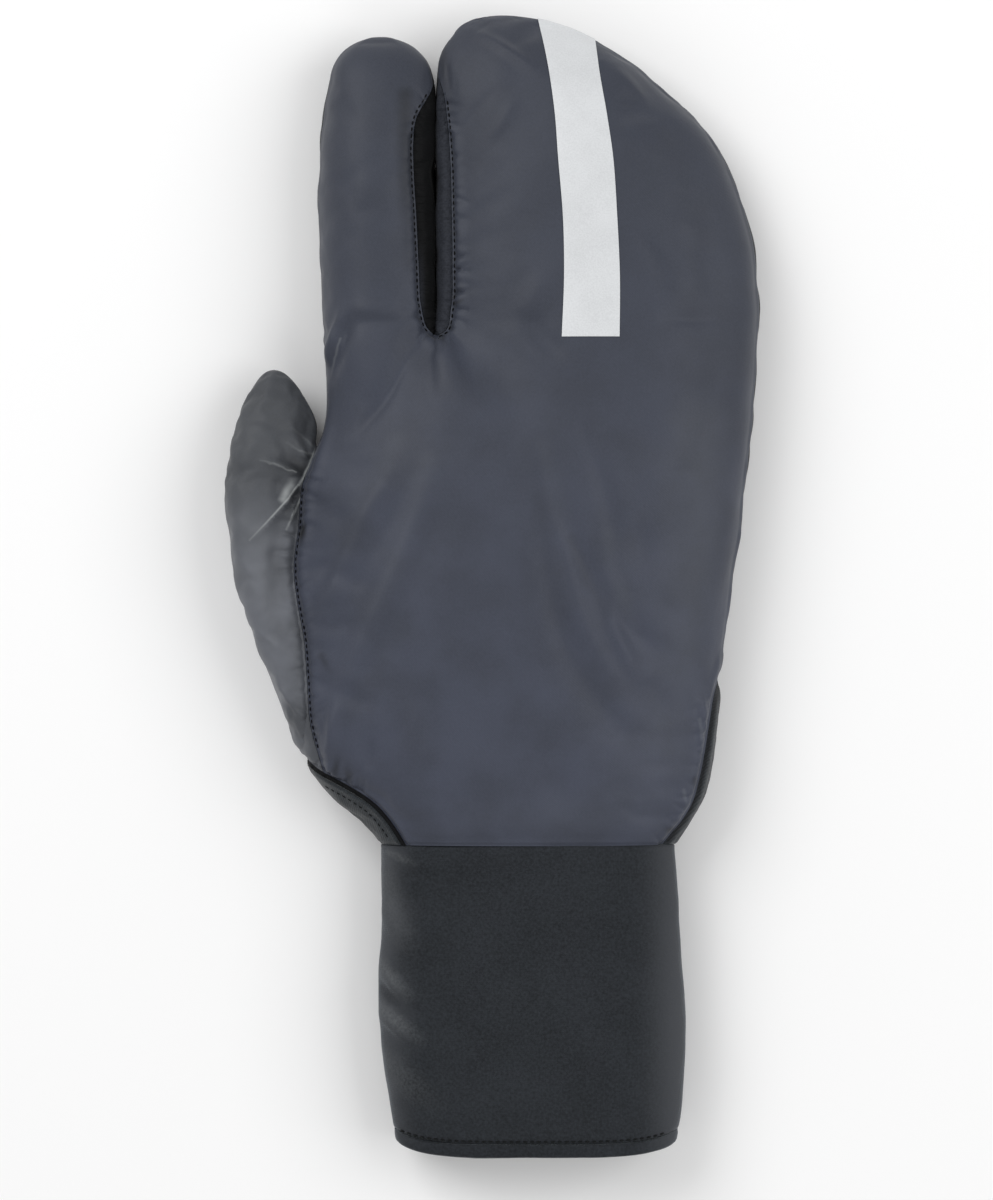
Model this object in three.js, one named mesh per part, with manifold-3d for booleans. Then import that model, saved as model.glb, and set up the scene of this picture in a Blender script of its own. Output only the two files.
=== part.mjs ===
// A winter cycling glove that lies palm down: slate nylon shell with a separate index finger and one
// wide pouch for the other three fingers, a thumb pouch, bound hems and a long stretch cuff.
// Millimetres. Fingers point along +Y, the thumb lies at -X, the back of the hand faces +Z.
import * as THREE from 'three';
import { mergeVertices } from 'three/addons/utils/BufferGeometryUtils.js';
import Module from 'manifold-3d';

// Driving dimensions
const WALL = 2; // nylon face, padding and lining together
const SEAM_GAP = 0.3; // clearance between neighbouring pieces
const SEAM_HEIGHT = 13; // height of the side seam above the surface the glove lies on
const SIDE_FULLNESS = 0.8; // of a section: 1 is a true oval, less is boxier
const TOP_FULLNESS = 0.75;
const UNDER_FULLNESS = 0.6;
const UNDER_DEPTH = 1.1; // near a tip, depth below the side seam as a share of the height above it
const FLAT = 2; // how far the rounded underside is pressed flat
const SLOT_WALL = 0.4; // upright part of a pouch's side in the slot, as a share of its height
const FORK_SETBACK = 3; // inside, the fork lies this far nearer the wrist than outside
const BINDING_PROUD = 0.5; // bindings and the cuff's hem are thicker than the nylon by this
const PIPING_PROUD = 0.9;
const PIPING_WIDTH = 1.3;
const STRIPE_THICKNESS = 1;
const FORK_Y = 68.5; // bottom of the slot between index finger and mitt pouch
const SLOT_X = -14.8;
const SHELL_HEM_Y = -68.4; // where the nylon ends and the cuff begins
const HEM_SEAM_Y = -146.3; // stitch line of the cuff's turned hem
const CORNER_LIFT = 3.2; // the cuff's mouth is cut round at both side edges
const FOURCHETTE_BOTTOM = 4; // the slot's strip ends this high, on the palm
const MOUTH_RUN_OUT = 12; // the inner solid passes the cuff's mouth by this
const FAR = 200; // cutters reach this far past the glove

// Sections across the hand, from the cuff's mouth to the fork: side edges and highest point
const HAND = [
  { y: -150, left: -25.6, right: 48.2, top: 26.5 },
  { y: -143, left: -26.5, right: 49.4, top: 27.5 },
  { y: -125, left: -29, right: 50.8, top: 28 },
  { y: -104, left: -29.8, right: 50.5, top: 28 },
  { y: -84, left: -28.9, right: 49, top: 27.5 },
  { y: -68.4, left: -29.6, right: 48.2, top: 28.5 },
  { y: -62.3, left: -34.7, right: 52.1, top: 29.7 },
  { y: -57, left: -41.3, right: 55, top: 31 },
  { y: -51.8, left: -46.3, right: 56.5, top: 31.7 },
  { y: -46, left: -50, right: 57.7, top: 32.2 },
  { y: -38, left: -52, right: 58.9, top: 32.7 },
  { y: -26, left: -52.4, right: 60, top: 33.3 },
  { y: -13, left: -52.6, right: 61.4, top: 33.8 },
  { y: 1, left: -52.4, right: 63.4, top: 34 },
  { y: 14, left: -51.2, right: 65.2, top: 34 },
  { y: 27, left: -48.2, right: 66.8, top: 34 },
  { y: 38, left: -45.5, right: 68, top: 33.5 },
  { y: 46, left: -43.9, right: 68.9, top: 33 },
  { y: 54, left: -43.4, right: 69.6, top: 32.5 },
  { y: 62, left: -44, right: 70, top: 32 },
  { y: FORK_Y, left: -44.5, right: 70.4, top: 31.5 },
];
const INDEX = [
  { y: FORK_Y, left: -44.5, right: SLOT_X, top: 28.5 },
  { y: 81, left: -45.1, right: -15.1, top: 28.2 },
  { y: 95, left: -45.6, right: -15.3, top: 27.5 },
  { y: 109, left: -45.5, right: -15.5, top: 27 },
  { y: 121, left: -44.8, right: -15.8, top: 25.8 },
  { y: 130, left: -43.6, right: -16.3, top: 24.2 },
  { y: 136.5, left: -41.7, right: -17.6, top: 22.2 },
  { y: 141, left: -38.2, right: -20.7, top: 19.3 },
  { y: 143.8, left: -32.4, right: -26.4, top: 15.5 },
];
const MITT = [
  { y: FORK_Y, left: SLOT_X, right: 70.4, top: 31 },
  { y: 79, left: -14.6, right: 70, top: 30.5 },
  { y: 89.5, left: -14.5, right: 68.8, top: 30 },
  { y: 101, left: -14.5, right: 65.6, top: 29.5 },
  { y: 112, left: -14.6, right: 61.2, top: 28.7 },
  { y: 121.7, left: -14.6, right: 54.6, top: 27.5 },
  { y: 130, left: -14.4, right: 45.4, top: 26 },
  { y: 137.5, left: -13.6, right: 36.6, top: 24 },
  { y: 143.6, left: -11, right: 26.4, top: 21 },
  { y: 147.7, left: -7.3, right: 16.5, top: 17.5 },
  { y: 149.6, left: -2, right: 7, top: 14.5 },
];
const THUMB = [
  { y: -43, left: -51.3, right: -43.5, top: 19 },
  { y: -36, left: -54.3, right: -42.5, top: 22.5 },
  { y: -25.4, left: -58.5, right: -42.5, top: 25 },
  { y: -13, left: -63.3, right: -43, top: 26 },
  { y: 1, left: -67.5, right: -43.5, top: 26.5 },
  { y: 12, left: -69.4, right: -44, top: 26.5 },
  { y: 23, left: -70.4, right: -44.7, top: 25.5 },
  { y: 34, left: -69.4, right: -45.6, top: 24 },
  { y: 43, left: -67.3, right: -46.9, top: 22 },
  { y: 49.5, left: -64.7, right: -49.8, top: 20 },
  { y: 54, left: -61.8, right: -53, top: 17.5 },
  { y: 56, left: -59.8, right: -55.4, top: 15 },
];
const THUMB_START = { x: -47.5, y: -45.6 };
const THUMB_TIP = { x: -57.7, y: 56.6 };
const INDEX_TIP = { x: -29.3, y: 144.3 };
const MITT_TIP = { x: 2.2, y: 150.1 };

// Steps over the top of each section, with as many again under it
const INDEX_STEPS = 6;
const MITT_STEPS = 12;
const THUMB_STEPS = 8;
const HAND_STEPS = INDEX_STEPS + MITT_STEPS;

// Below the fork the groove between the two pouches fades out over this length, and beside it the
// index finger and the mitt pouch lie this much lower than the middle of the hand
const GROOVE_LENGTH = 24;
const INDEX_DROP = 3;
const MITT_DROP = 0.5;

// Soft folds pressed into the back: from one end to the other, half width, height (a dent is below 0)
const FOLDS = [
  { from: [-43, 36], to: [-38, -32], width: 5, height: 1.3 },
  { from: [-30, 30], to: [-8, -34], width: 8, height: 1 },
  { from: [16, 26], to: [38, -56], width: 6, height: 1.3 },
  { from: [30, 34], to: [51, -38], width: 6, height: 1 },
  { from: [-44, 58], to: [-31, 78], width: 4, height: -1.2 },
  { from: [-27, -84], to: [-14, -92], width: 4, height: 1 },
  { from: [-28, -104], to: [-16, -112], width: 4, height: 1 },
];

// Seams seen from above
const THUMB_SEAM = [
  [-45.3, 62], [-45.4, 40], [-47.4, 33], [-49.8, 27], [-51, 15], [-52.2, 4], [-51.2, -5], [-49.5, -14],
  [-48.6, -26], [-47.9, -36], [-45.2, -46.6], [-43, -54],
];
const THUMB_SIDE_HEM = [
  [-53.8, -42.2], [-49.8, -45.4], [-45.8, -48.6], [-40.8, -51.2], [-35.8, -53.9], [-30.5, -57.6],
  [-26.6, -62.1], [-22.3, -69],
];
const LITTLE_SIDE_HEM = [
  [62, -20], [60.2, -24], [58.2, -28.8], [57, -35.1], [55.7, -42], [54.3, -48.6], [51.8, -56], [48.8, -63.4],
  [45.4, -69],
];
const SLOT_SEAM = [
  [-17.2, 139], [-20.6, 130], [-21.4, 121], [-21, 110], [-20.2, 96], [-19.2, 82], [-18.4, 72],
  [-16.6, 66.6], [-14.7, 65.2], [-12.6, 66.2], [-10.8, 72], [-10.2, 84], [-10.4, 98], [-11, 112],
  [-11.6, 122], [-12.8, 131], [-14.4, 139],
];
const STRIPE_OUTLINE = [
  [18, 64.2], [18.6, 80], [18.4, 94], [17, 112], [16.3, 122], [14.9, 133], [11.4, 152], [26.4, 152],
  [28, 134], [29.9, 122], [31.3, 112], [32.4, 96], [33.1, 80], [33, 64.2],
];

// Cloths: colour and roughness
const NYLON = { color: 0x484b55, roughness: 0.55 };
const PALM_CLOTH = { color: 0x2b2d31, roughness: 0.7 };
const BLACK_CLOTH = { color: 0x1a1b1e, roughness: 0.7 };
const THUMB_NYLON = { color: 0x5d6167, roughness: 0.5 };
const KNIT = { color: 0x2e3236, roughness: 0.85 };
const REFLECTIVE = { color: 0xdfe2e4, roughness: 0.4 };

const wasm = await Module();
wasm.setup();

// A closed skin that is bridged ring by ring, and can be swollen or shrunk along its normals.
class Skin {
  constructor() {
    this.points = [];
    this.faces = [];
  }

  add(points) {
    return points.map((point) => this.points.push(point) - 1);
  }

  bridge(ring, next) {
    ring.forEach((a, i) => {
      const b = ring[(i + 1) % ring.length];
      const c = next[(i + 1) % next.length];
      this.faces.push([a, b, c], [a, c, next[i]]);
    });
  }

  closeTip(ring, tip) {
    const [end] = this.add([tip]);
    ring.forEach((a, i) => this.faces.push([a, ring[(i + 1) % ring.length], end]));
  }

  closeStart(ring, start) {
    const [end] = this.add([start]);
    ring.forEach((a, i) => this.faces.push([a, end, ring[(i + 1) % ring.length]]));
  }

  // The skin moved outwards by a distance, as a solid. The open ring is stretched along -Y, then capped.
  solid(distance, openRing = [], stretch = 0) {
    const geometry = new THREE.BufferGeometry().setFromPoints(this.points);
    geometry.setIndex(this.faces.flat());
    geometry.computeVertexNormals();
    const normals = geometry.getAttribute('normal');
    const moved = this.points.map((point, i) => {
      const normal = new THREE.Vector3().fromBufferAttribute(normals, i);
      return point.clone().addScaledVector(normal, distance);
    });
    const faces = [...this.faces];
    if (openRing.length > 0) {
      openRing.forEach((i) => { moved[i].y -= stretch; });
      const middle = new THREE.Vector3();
      openRing.forEach((i) => middle.addScaledVector(moved[i], 1 / openRing.length));
      moved.push(middle);
      openRing.forEach((a, i) => faces.push([a, moved.length - 1, openRing[(i + 1) % openRing.length]]));
    }
    return new wasm.Manifold(new wasm.Mesh({
      numProp: 3,
      vertProperties: Float32Array.from(moved.flatMap((point) => point.toArray())),
      triVerts: Uint32Array.from(faces.flat()),
    }));
  }
}

// Height that the folds add to the back at a place
function foldHeight(x, y) {
  const place = new THREE.Vector3(x, y, 0);
  const nearest = new THREE.Vector3();
  return FOLDS.reduce((sum, fold) => {
    const line = new THREE.Line3(new THREE.Vector3(...fold.from, 0), new THREE.Vector3(...fold.to, 0));
    line.closestPointToPoint(place, true, nearest);
    return sum + fold.height * Math.exp(-((nearest.distanceTo(place) / fold.width) ** 2));
  }, 0);
}

// One side of a section, from the left edge (0) to the right edge (1): a flattened oval. The edge
// named as its slot side stands upright for a stretch above and below the side seam.
function sectionPoint({ y, left, right, top }, share, upper, slotSide) {
  const angle = Math.PI * share;
  const rise = Math.sin(angle);
  const across = Math.sign(Math.cos(angle)) * Math.abs(Math.cos(angle)) ** SIDE_FULLNESS;
  const x = (left + right) / 2 - ((right - left) / 2) * across;
  const nearness = { left: 1 - share, right: share }[slotSide] ?? 0;
  const upright = SLOT_WALL * (top - SEAM_HEIGHT) * nearness ** 4;
  if (upper) {
    const edge = SEAM_HEIGHT + upright;
    return new THREE.Vector3(x, y, edge + (top - edge) * rise ** TOP_FULLNESS + foldHeight(x, y) * rise);
  }
  const edge = SEAM_HEIGHT - upright;
  const depth = Math.min(edge + FLAT, (top - SEAM_HEIGHT) * UNDER_DEPTH - upright);
  return new THREE.Vector3(x, y, Math.max(0, edge - depth * rise ** UNDER_FULLNESS));
}

function topEdge(row, steps, slotSide) {
  return Array.from({ length: steps + 1 }, (_, i) => sectionPoint(row, i / steps, true, slotSide));
}

function underEdge(row, steps, slotSide) {
  return Array.from({ length: steps + 1 }, (_, i) => sectionPoint(row, 1 - i / steps, false, slotSide));
}

// Rings go over the top from left to right, then back under. Each pouch has both corners of its slot
// wall in its ring, and one point at its other edge.
function indexRing(row) {
  return [...topEdge(row, INDEX_STEPS, 'right'), ...underEdge(row, INDEX_STEPS, 'right').slice(0, -1)];
}

function mittRing(row) {
  return [...topEdge(row, MITT_STEPS, 'left'), ...underEdge(row, MITT_STEPS, 'left').slice(1)];
}

function plainRing(row, steps) {
  return [...topEdge(row, steps), ...underEdge(row, steps).slice(1, -1)];
}

// A ring whose left part follows the index finger's section and whose right part follows the mitt's
function forkRing(index, mitt) {
  return [
    ...topEdge(index, INDEX_STEPS, 'right'), ...topEdge(mitt, MITT_STEPS, 'left').slice(1),
    ...underEdge(mitt, MITT_STEPS, 'left').slice(1), ...underEdge(index, INDEX_STEPS, 'right').slice(1, -1),
  ];
}

// A section of the hand, with the groove that runs into the fork
function handRing(row, forkY) {
  const index = { ...INDEX[0], y: row.y, left: row.left, top: row.top - INDEX_DROP };
  const mitt = { ...MITT[0], y: row.y, right: row.right, top: row.top - MITT_DROP };
  const nearness = THREE.MathUtils.smoothstep(row.y, forkY - GROOVE_LENGTH, forkY);
  const forked = forkRing(index, mitt);
  return plainRing(row, HAND_STEPS).map((point, i) => point.lerp(forked[i], nearness ** 2));
}

// Bridges from a first ring through the rings of some rows, and returns the last ring
function loft(skin, first, rings) {
  return rings.reduce((ring, points) => {
    const next = skin.add(points);
    skin.bridge(ring, next);
    return next;
  }, first);
}

// Hand, index finger and mitt pouch in one skin. The cuff's mouth stays open for the cap.
function makeHandSkin(setback) {
  const forkY = FORK_Y - setback;
  const moved = (row) => ({ ...row, y: row.y - (row.y === FORK_Y ? setback : 0) });
  const skin = new Skin();
  const mouthPoints = handRing(HAND[0], forkY);
  const middle = (HAND[0].left + HAND[0].right) / 2;
  mouthPoints.forEach((point) => {
    point.y += CORNER_LIFT * ((point.x - middle) / (HAND[0].right - middle)) ** 6;
  });
  const mouth = skin.add(mouthPoints);
  const below = loft(skin, mouth, HAND.slice(1, -1).map((row) => handRing(row, forkY)));
  const fork = skin.add(forkRing(moved(INDEX[0]), moved(MITT[0])));
  skin.bridge(below, fork);
  const under = fork.length - INDEX_STEPS;
  const indexFork = [...fork.slice(0, INDEX_STEPS + 1), ...fork.slice(under)];
  const mittFork = fork.slice(INDEX_STEPS, under + 1);
  const indexEnd = loft(skin, indexFork, INDEX.slice(1).map(indexRing));
  const mittEnd = loft(skin, mittFork, MITT.slice(1).map(mittRing));
  skin.closeTip(indexEnd, new THREE.Vector3(INDEX_TIP.x, INDEX_TIP.y, SEAM_HEIGHT));
  skin.closeTip(mittEnd, new THREE.Vector3(MITT_TIP.x, MITT_TIP.y, SEAM_HEIGHT));
  return { skin, mouth };
}

function makeThumbSkin() {
  const skin = new Skin();
  const rings = THUMB.map((row) => plainRing(row, THUMB_STEPS));
  const start = skin.add(rings[0]);
  const end = loft(skin, start, rings.slice(1));
  skin.closeStart(start, new THREE.Vector3(THUMB_START.x, THUMB_START.y, SEAM_HEIGHT));
  skin.closeTip(end, new THREE.Vector3(THUMB_TIP.x, THUMB_TIP.y, SEAM_HEIGHT));
  return skin;
}

// The whole glove's skin moved outwards by a distance. An inner one runs out through the cuff's mouth.
function gloveSolid(distance) {
  const inside = distance < 0;
  const hand = makeHandSkin(inside ? FORK_SETBACK : 0);
  return hand.skin.solid(distance, hand.mouth, inside ? MOUTH_RUN_OUT : 0).add(makeThumbSkin().solid(distance));
}

// An upright prism over an outline, between two heights
function prism(outline, bottom = -FAR, top = FAR) {
  const shape = new THREE.Shape(outline.map(([x, y]) => new THREE.Vector2(x, y)));
  const geometry = new THREE.ExtrudeGeometry(shape, { depth: top - bottom, bevelEnabled: false });
  geometry.translate(0, 0, bottom);
  return solidOf(geometry);
}

function box(min, max) {
  const size = max.map((value, i) => value - min[i]);
  const geometry = new THREE.BoxGeometry(...size);
  geometry.translate(...min.map((value, i) => value + size[i] / 2));
  return solidOf(geometry);
}

// A solid from a closed geometry, its corners at the same place joined
function solidOf(geometry) {
  geometry.deleteAttribute('normal');
  geometry.deleteAttribute('uv');
  const merged = mergeVertices(geometry);
  return new wasm.Manifold(new wasm.Mesh({
    numProp: 3,
    vertProperties: Float32Array.from(merged.getAttribute('position').array),
    triVerts: Uint32Array.from(merged.getIndex().array),
  }));
}

// A line moved sideways: to the left of its direction where the distance is above 0
function shifted(line, distance) {
  return line.map(([x, y], i) => {
    const [x0, y0] = line[Math.max(0, i - 1)];
    const [x1, y1] = line[Math.min(line.length - 1, i + 1)];
    const length = Math.hypot(x1 - x0, y1 - y0);
    return [x - (distance * (y1 - y0)) / length, y + (distance * (x1 - x0)) / length];
  });
}

// A strip along a line, from one sideways distance to another
function strip(line, from, to) {
  return prism([...shifted(line, from), ...shifted(line, to).reverse()]);
}

// Everything between a shifted line and a far upright plane
function sideOf(line, distance, farX) {
  const [, startY] = line[0];
  const [, endY] = line[line.length - 1];
  return prism([...shifted(line, distance), [farX, endY], [farX, startY]]);
}

// Areas that the seams part, each grown past its seam by a distance (a gap's width for its neighbours)
const thumbHemArea = (grow) => sideOf(THUMB_SIDE_HEM, grow, -FAR);
const littleHemArea = (grow) => sideOf(LITTLE_SIDE_HEM, -grow, FAR);
const thumbArea = (grow) => sideOf(THUMB_SEAM, grow, -FAR).subtract(thumbHemArea(SEAM_GAP));
const slotArea = (grow, bottom) => prism(shifted(SLOT_SEAM, -grow), bottom);
const pipingArea = strip(THUMB_SIDE_HEM, 0, -PIPING_WIDTH);

// Between two heights of one axis, and everything that way sideways
const between = (low, high) => box([-FAR, low, -FAR], [FAR, high, FAR]);
const cavity = gloveSolid(-WALL);
const shell = gloveSolid(0).subtract(cavity);
const boundShell = gloveSolid(BINDING_PROUD).subtract(cavity);
const aboveHem = between(SHELL_HEM_Y, FAR);
const handPart = shell.intersect(aboveHem);
const boundHandPart = boundShell.intersect(aboveHem);

const thumb = handPart.intersect(thumbArea(0));
const fourchette = handPart.intersect(slotArea(0, FOURCHETTE_BOTTOM));
const thumbBinding = boundHandPart.intersect(thumbHemArea(-PIPING_WIDTH - SEAM_GAP));
const thumbPiping = gloveSolid(PIPING_PROUD).subtract(cavity).intersect(aboveHem).intersect(pipingArea);
const littleBinding = boundHandPart.intersect(littleHemArea(0));
const panels = handPart
  .subtract(thumbArea(SEAM_GAP))
  .subtract(slotArea(SEAM_GAP, FOURCHETTE_BOTTOM - SEAM_GAP))
  .subtract(thumbHemArea(SEAM_GAP))
  .subtract(littleHemArea(SEAM_GAP));
const back = panels.intersect(box([-FAR, -FAR, SEAM_HEIGHT + SEAM_GAP / 2], [FAR, FAR, FAR]));
const palm = panels.intersect(box([-FAR, -FAR, -FAR], [FAR, FAR, SEAM_HEIGHT - SEAM_GAP / 2]));
const cuff = shell.intersect(between(HEM_SEAM_Y, SHELL_HEM_Y - SEAM_GAP));
const cuffHem = boundShell.intersect(box([-FAR, -FAR, 0], [FAR, HEM_SEAM_Y - SEAM_GAP, FAR]));
const stripe = gloveSolid(SEAM_GAP + STRIPE_THICKNESS)
  .subtract(gloveSolid(SEAM_GAP))
  .intersect(prism(STRIPE_OUTLINE, SEAM_HEIGHT));

function cloth(name, solid, finish) {
  const mesh = solid.getMesh();
  const geometry = new THREE.BufferGeometry();
  geometry.setAttribute('position', new THREE.BufferAttribute(Float32Array.from(mesh.vertProperties), 3));
  geometry.setIndex(Array.from(mesh.triVerts));
  geometry.computeVertexNormals();
  const piece = new THREE.Mesh(geometry, new THREE.MeshStandardMaterial({ ...finish, metalness: 0 }));
  piece.name = name;
  return piece;
}

const group = new THREE.Group();
group.add(
  cloth('back_panel', back, NYLON),
  cloth('palm_panel', palm, PALM_CLOTH),
  cloth('index_mitt_fourchette', fourchette, BLACK_CLOTH),
  cloth('thumb_pouch', thumb, THUMB_NYLON),
  cloth('thumb_side_binding', thumbBinding, KNIT),
  cloth('thumb_side_piping', thumbPiping, BLACK_CLOTH),
  cloth('little_side_binding', littleBinding, KNIT),
  cloth('cuff', cuff, KNIT),
  cloth('cuff_hem', cuffHem, KNIT),
  cloth('reflective_stripe', stripe, REFLECTIVE),
);

export default group;
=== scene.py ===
"""Looks of a winter cycling glove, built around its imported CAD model.

The glove lies palm down on a pale floor. Fingers point along +Y, the thumb lies at -X and the back of
the hand faces +Z. Sizes and places below are millimetres in the frame of the CAD model, and meshes are
made in metres.
"""

import logging
import math
from dataclasses import dataclass, field
from enum import Enum
from typing import Iterable, Optional, Sequence, Union

import bmesh
import bpy
import numpy as np
from mathutils import Matrix, Vector
from mathutils.bvhtree import BVHTree


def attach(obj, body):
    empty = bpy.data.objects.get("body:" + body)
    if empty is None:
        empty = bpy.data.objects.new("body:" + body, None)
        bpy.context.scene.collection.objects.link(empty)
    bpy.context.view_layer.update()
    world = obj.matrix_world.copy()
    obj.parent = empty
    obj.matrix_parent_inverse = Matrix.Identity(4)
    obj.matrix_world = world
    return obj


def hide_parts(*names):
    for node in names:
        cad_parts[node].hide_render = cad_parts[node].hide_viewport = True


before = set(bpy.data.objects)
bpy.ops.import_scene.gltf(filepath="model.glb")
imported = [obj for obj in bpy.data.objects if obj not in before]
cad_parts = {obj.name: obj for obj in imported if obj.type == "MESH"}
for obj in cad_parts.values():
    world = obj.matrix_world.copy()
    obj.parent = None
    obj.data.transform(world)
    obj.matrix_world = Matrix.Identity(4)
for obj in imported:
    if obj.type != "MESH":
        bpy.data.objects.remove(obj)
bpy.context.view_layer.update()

LOG = logging.getLogger("glove")
MM = 0.001

# Rows of the hand's sections: place along the glove, left edge, right edge, highest point
HAND_ROWS = (
    (-150, -25.6, 48.2, 26.5), (-143, -26.5, 49.4, 27.5), (-125, -29, 50.8, 28), (-104, -29.8, 50.5, 28),
    (-84, -28.9, 49, 27.5), (-68.4, -29.6, 47.2, 28.5), (-62.3, -34.7, 51.5, 29.7), (-57, -41.3, 54.5, 31),
    (-51.8, -45.8, 56.4, 31.7), (-46, -49.2, 57.6, 32.2), (-38, -52, 58.6, 32.7), (-26, -52.4, 59.7, 33.3),
    (-13, -53.4, 61.4, 33.8), (1, -54.2, 63.4, 34), (14, -53.2, 65.2, 34), (27, -51.3, 66.8, 34),
    (33, -48.7, 67.5, 33.8), (38, -45.9, 68, 33.5), (46, -43.9, 68.9, 33), (54, -43.4, 69.6, 32.5),
    (62, -44, 70, 32), (68.5, -44.5, 70.4, 31.5),
)
CUFF_ROWS = (
    (-150, -25.6, 48.2, 26.5), (-143, -26.5, 49.4, 27.5), (-125, -29, 50.8, 28), (-104, -29.8, 50.5, 28),
    (-84, -28.9, 49, 27.5), (-68.4, -29.6, 48.2, 28.5), (-60, -29.8, 48, 28.8),
)
INDEX_ROWS = (
    (68.5, -44.5, -14.8, 28.5), (81, -45.1, -15.1, 28.2), (95, -45.6, -15.3, 27.5), (109, -45.5, -15.5, 27),
    (121, -44.8, -15.2, 25.8), (130, -43.6, -15.3, 24.2), (136.5, -41.7, -17, 22.2),
    (141, -38.2, -20.7, 19.3), (143.8, -32.4, -26.4, 15.5),
)
MITT_ROWS = (
    (68.5, -14.8, 70.4, 31), (79, -14.6, 70, 30.5), (89.5, -14.5, 68.8, 30), (101, -14.5, 65.6, 29.5),
    (112, -14.6, 61.2, 28.7), (121.7, -14.6, 54.6, 27.5), (130, -14.6, 45.4, 26), (137.5, -13.8, 36.6, 24),
    (143.6, -11, 26.4, 21), (147.7, -7.3, 16.5, 17.5), (149.6, -2, 7, 14.5),
)
THUMB_ROWS = (
    (-43, -51.3, -43.5, 19), (-36, -54.3, -42.5, 22.5), (-25.4, -58.5, -42.5, 25), (-13, -63.3, -43, 26),
    (1, -67.5, -43.5, 26.5), (12, -69.4, -44, 26.5), (23, -70.4, -44.7, 25.5), (34, -69.4, -45.6, 24),
    (43, -67.3, -46.9, 22), (49.5, -64.7, -49.8, 20), (54, -61.8, -53, 17.5), (56, -59.8, -55.4, 15),
)
INDEX_TIP = (144.3, -29.3)
MITT_TIP = (150.1, 2.2)
THUMB_TIP = (56.6, -57.7)
THUMB_START = (-45.6, -47.5)

# Seams seen from above
THUMB_SEAM = (
    (-45.3, 62), (-45.4, 40), (-47.4, 33), (-49.8, 27), (-51, 15), (-52.2, 4), (-51.2, -5), (-49.5, -14),
    (-48.6, -26), (-47.9, -36), (-45.2, -46.6), (-43, -54),
)
THUMB_SIDE_HEM = (
    (-53.8, -42.2), (-49.8, -45.4), (-45.8, -48.6), (-40.8, -51.2), (-35.8, -53.9), (-30.5, -57.6),
    (-26.6, -62.1), (-22.3, -69),
)
LITTLE_SIDE_HEM = (
    (62, -20), (60.4, -23.5), (58.7, -28), (57.2, -35.9), (56.1, -42.7), (54.7, -50), (52.6, -57.5),
    (49.8, -62.3), (47, -65.6), (44.2, -69),
)
SLOT_SEAM = (
    (-15.2, 133), (-16, 129.5), (-17.8, 126), (-19.8, 122), (-20.6, 116), (-20.5, 108), (-19.8, 96),
    (-19.1, 82), (-18.4, 72), (-16.8, 66.8), (-14.7, 65.2), (-12.5, 66.2), (-11, 72), (-10.6, 84),
    (-10.8, 98), (-11.2, 112), (-12, 122), (-13, 129), (-14.2, 133),
)
STRIPE_OUTLINE = (
    (18, 64.2), (18.6, 80), (18.4, 94), (17, 112), (16.3, 122), (14.9, 133), (11.4, 152), (26.4, 152),
    (28, 134), (29.9, 122), (31.3, 112), (32.4, 96), (33.1, 80), (33, 64.2),
)

SEAM_HEIGHT = 13.0
SIDE_FULLNESS = 0.8
TOP_FULLNESS = 0.75
UNDER_FULLNESS = 0.6
UNDER_DEPTH = 1.1
FLAT = 2.0
SLOT_WALL = 0.4
FORK_Y = 68.5
SLOT_X = -14.8
SHELL_HEM_Y = -68.4
HEM_SEAM_Y = -146.3
MOUTH_Y = -150.0
CORNER_LIFT = 3.2
INDEX_DROP = 3.0
MITT_DROP = 0.5
GROOVE_LENGTH = 11.0
WALL = 2.2
INNER_SETBACK = 3.0
FOURCHETTE_BOTTOM = 4.0
SEAM_GAP = 0.12
FAR = 200.0

Points = Sequence[Sequence[float]]
Colour = tuple[float, float, float]


class SlotSide(Enum):
    """The side of a section that stands upright in the slot between index finger and mitt pouch."""

    NONE = "none"
    LEFT = "left"
    RIGHT = "right"


class Cut(Enum):
    """What a cutter does to a blank."""

    KEEP = "INTERSECT"
    REMOVE = "DIFFERENCE"
    ADD = "UNION"


# Curves and sections


def smoothstep(value: np.ndarray, low: float, high: float) -> np.ndarray:
    """A value's share of the way from low to high, eased at both ends."""
    t = np.clip((value - low) / (high - low), 0, 1)
    return t * t * (3 - 2 * t)


def travelled(route: np.ndarray) -> np.ndarray:
    """Distances along a route (x, y) to each of its points."""
    return np.concatenate([[0.0], np.cumsum(np.hypot(*np.diff(route, axis=0).T))])


def smooth_curve(table: np.ndarray, at: np.ndarray, slopes: np.ndarray, wanted: np.ndarray) -> np.ndarray:
    """Runs a smooth curve through the rows of a table.

    Args:
        table: The rows.
        at: Distance along the curve of each row.
        slopes: Slope of the curve at each row.
        wanted: Distances along the curve at which it is wanted.

    Returns:
        One row for each wanted distance.
    """
    k = np.clip(np.searchsorted(at, wanted, side="right") - 1, 0, len(at) - 2)
    width = (at[k + 1] - at[k])[:, None]
    t = ((wanted - at[k]) / width[:, 0])[:, None]
    return (
        table[k] * (1 + 2 * t) * (1 - t) ** 2
        + slopes[k] * width * t * (1 - t) ** 2
        + table[k + 1] * t**2 * (3 - 2 * t)
        + slopes[k + 1] * width * t**2 * (t - 1)
    )


@dataclass(frozen=True)
class Row:
    """One cross-section: its place along the glove, both side edges and its highest point."""

    y: float
    left: float
    right: float
    top: float


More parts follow.
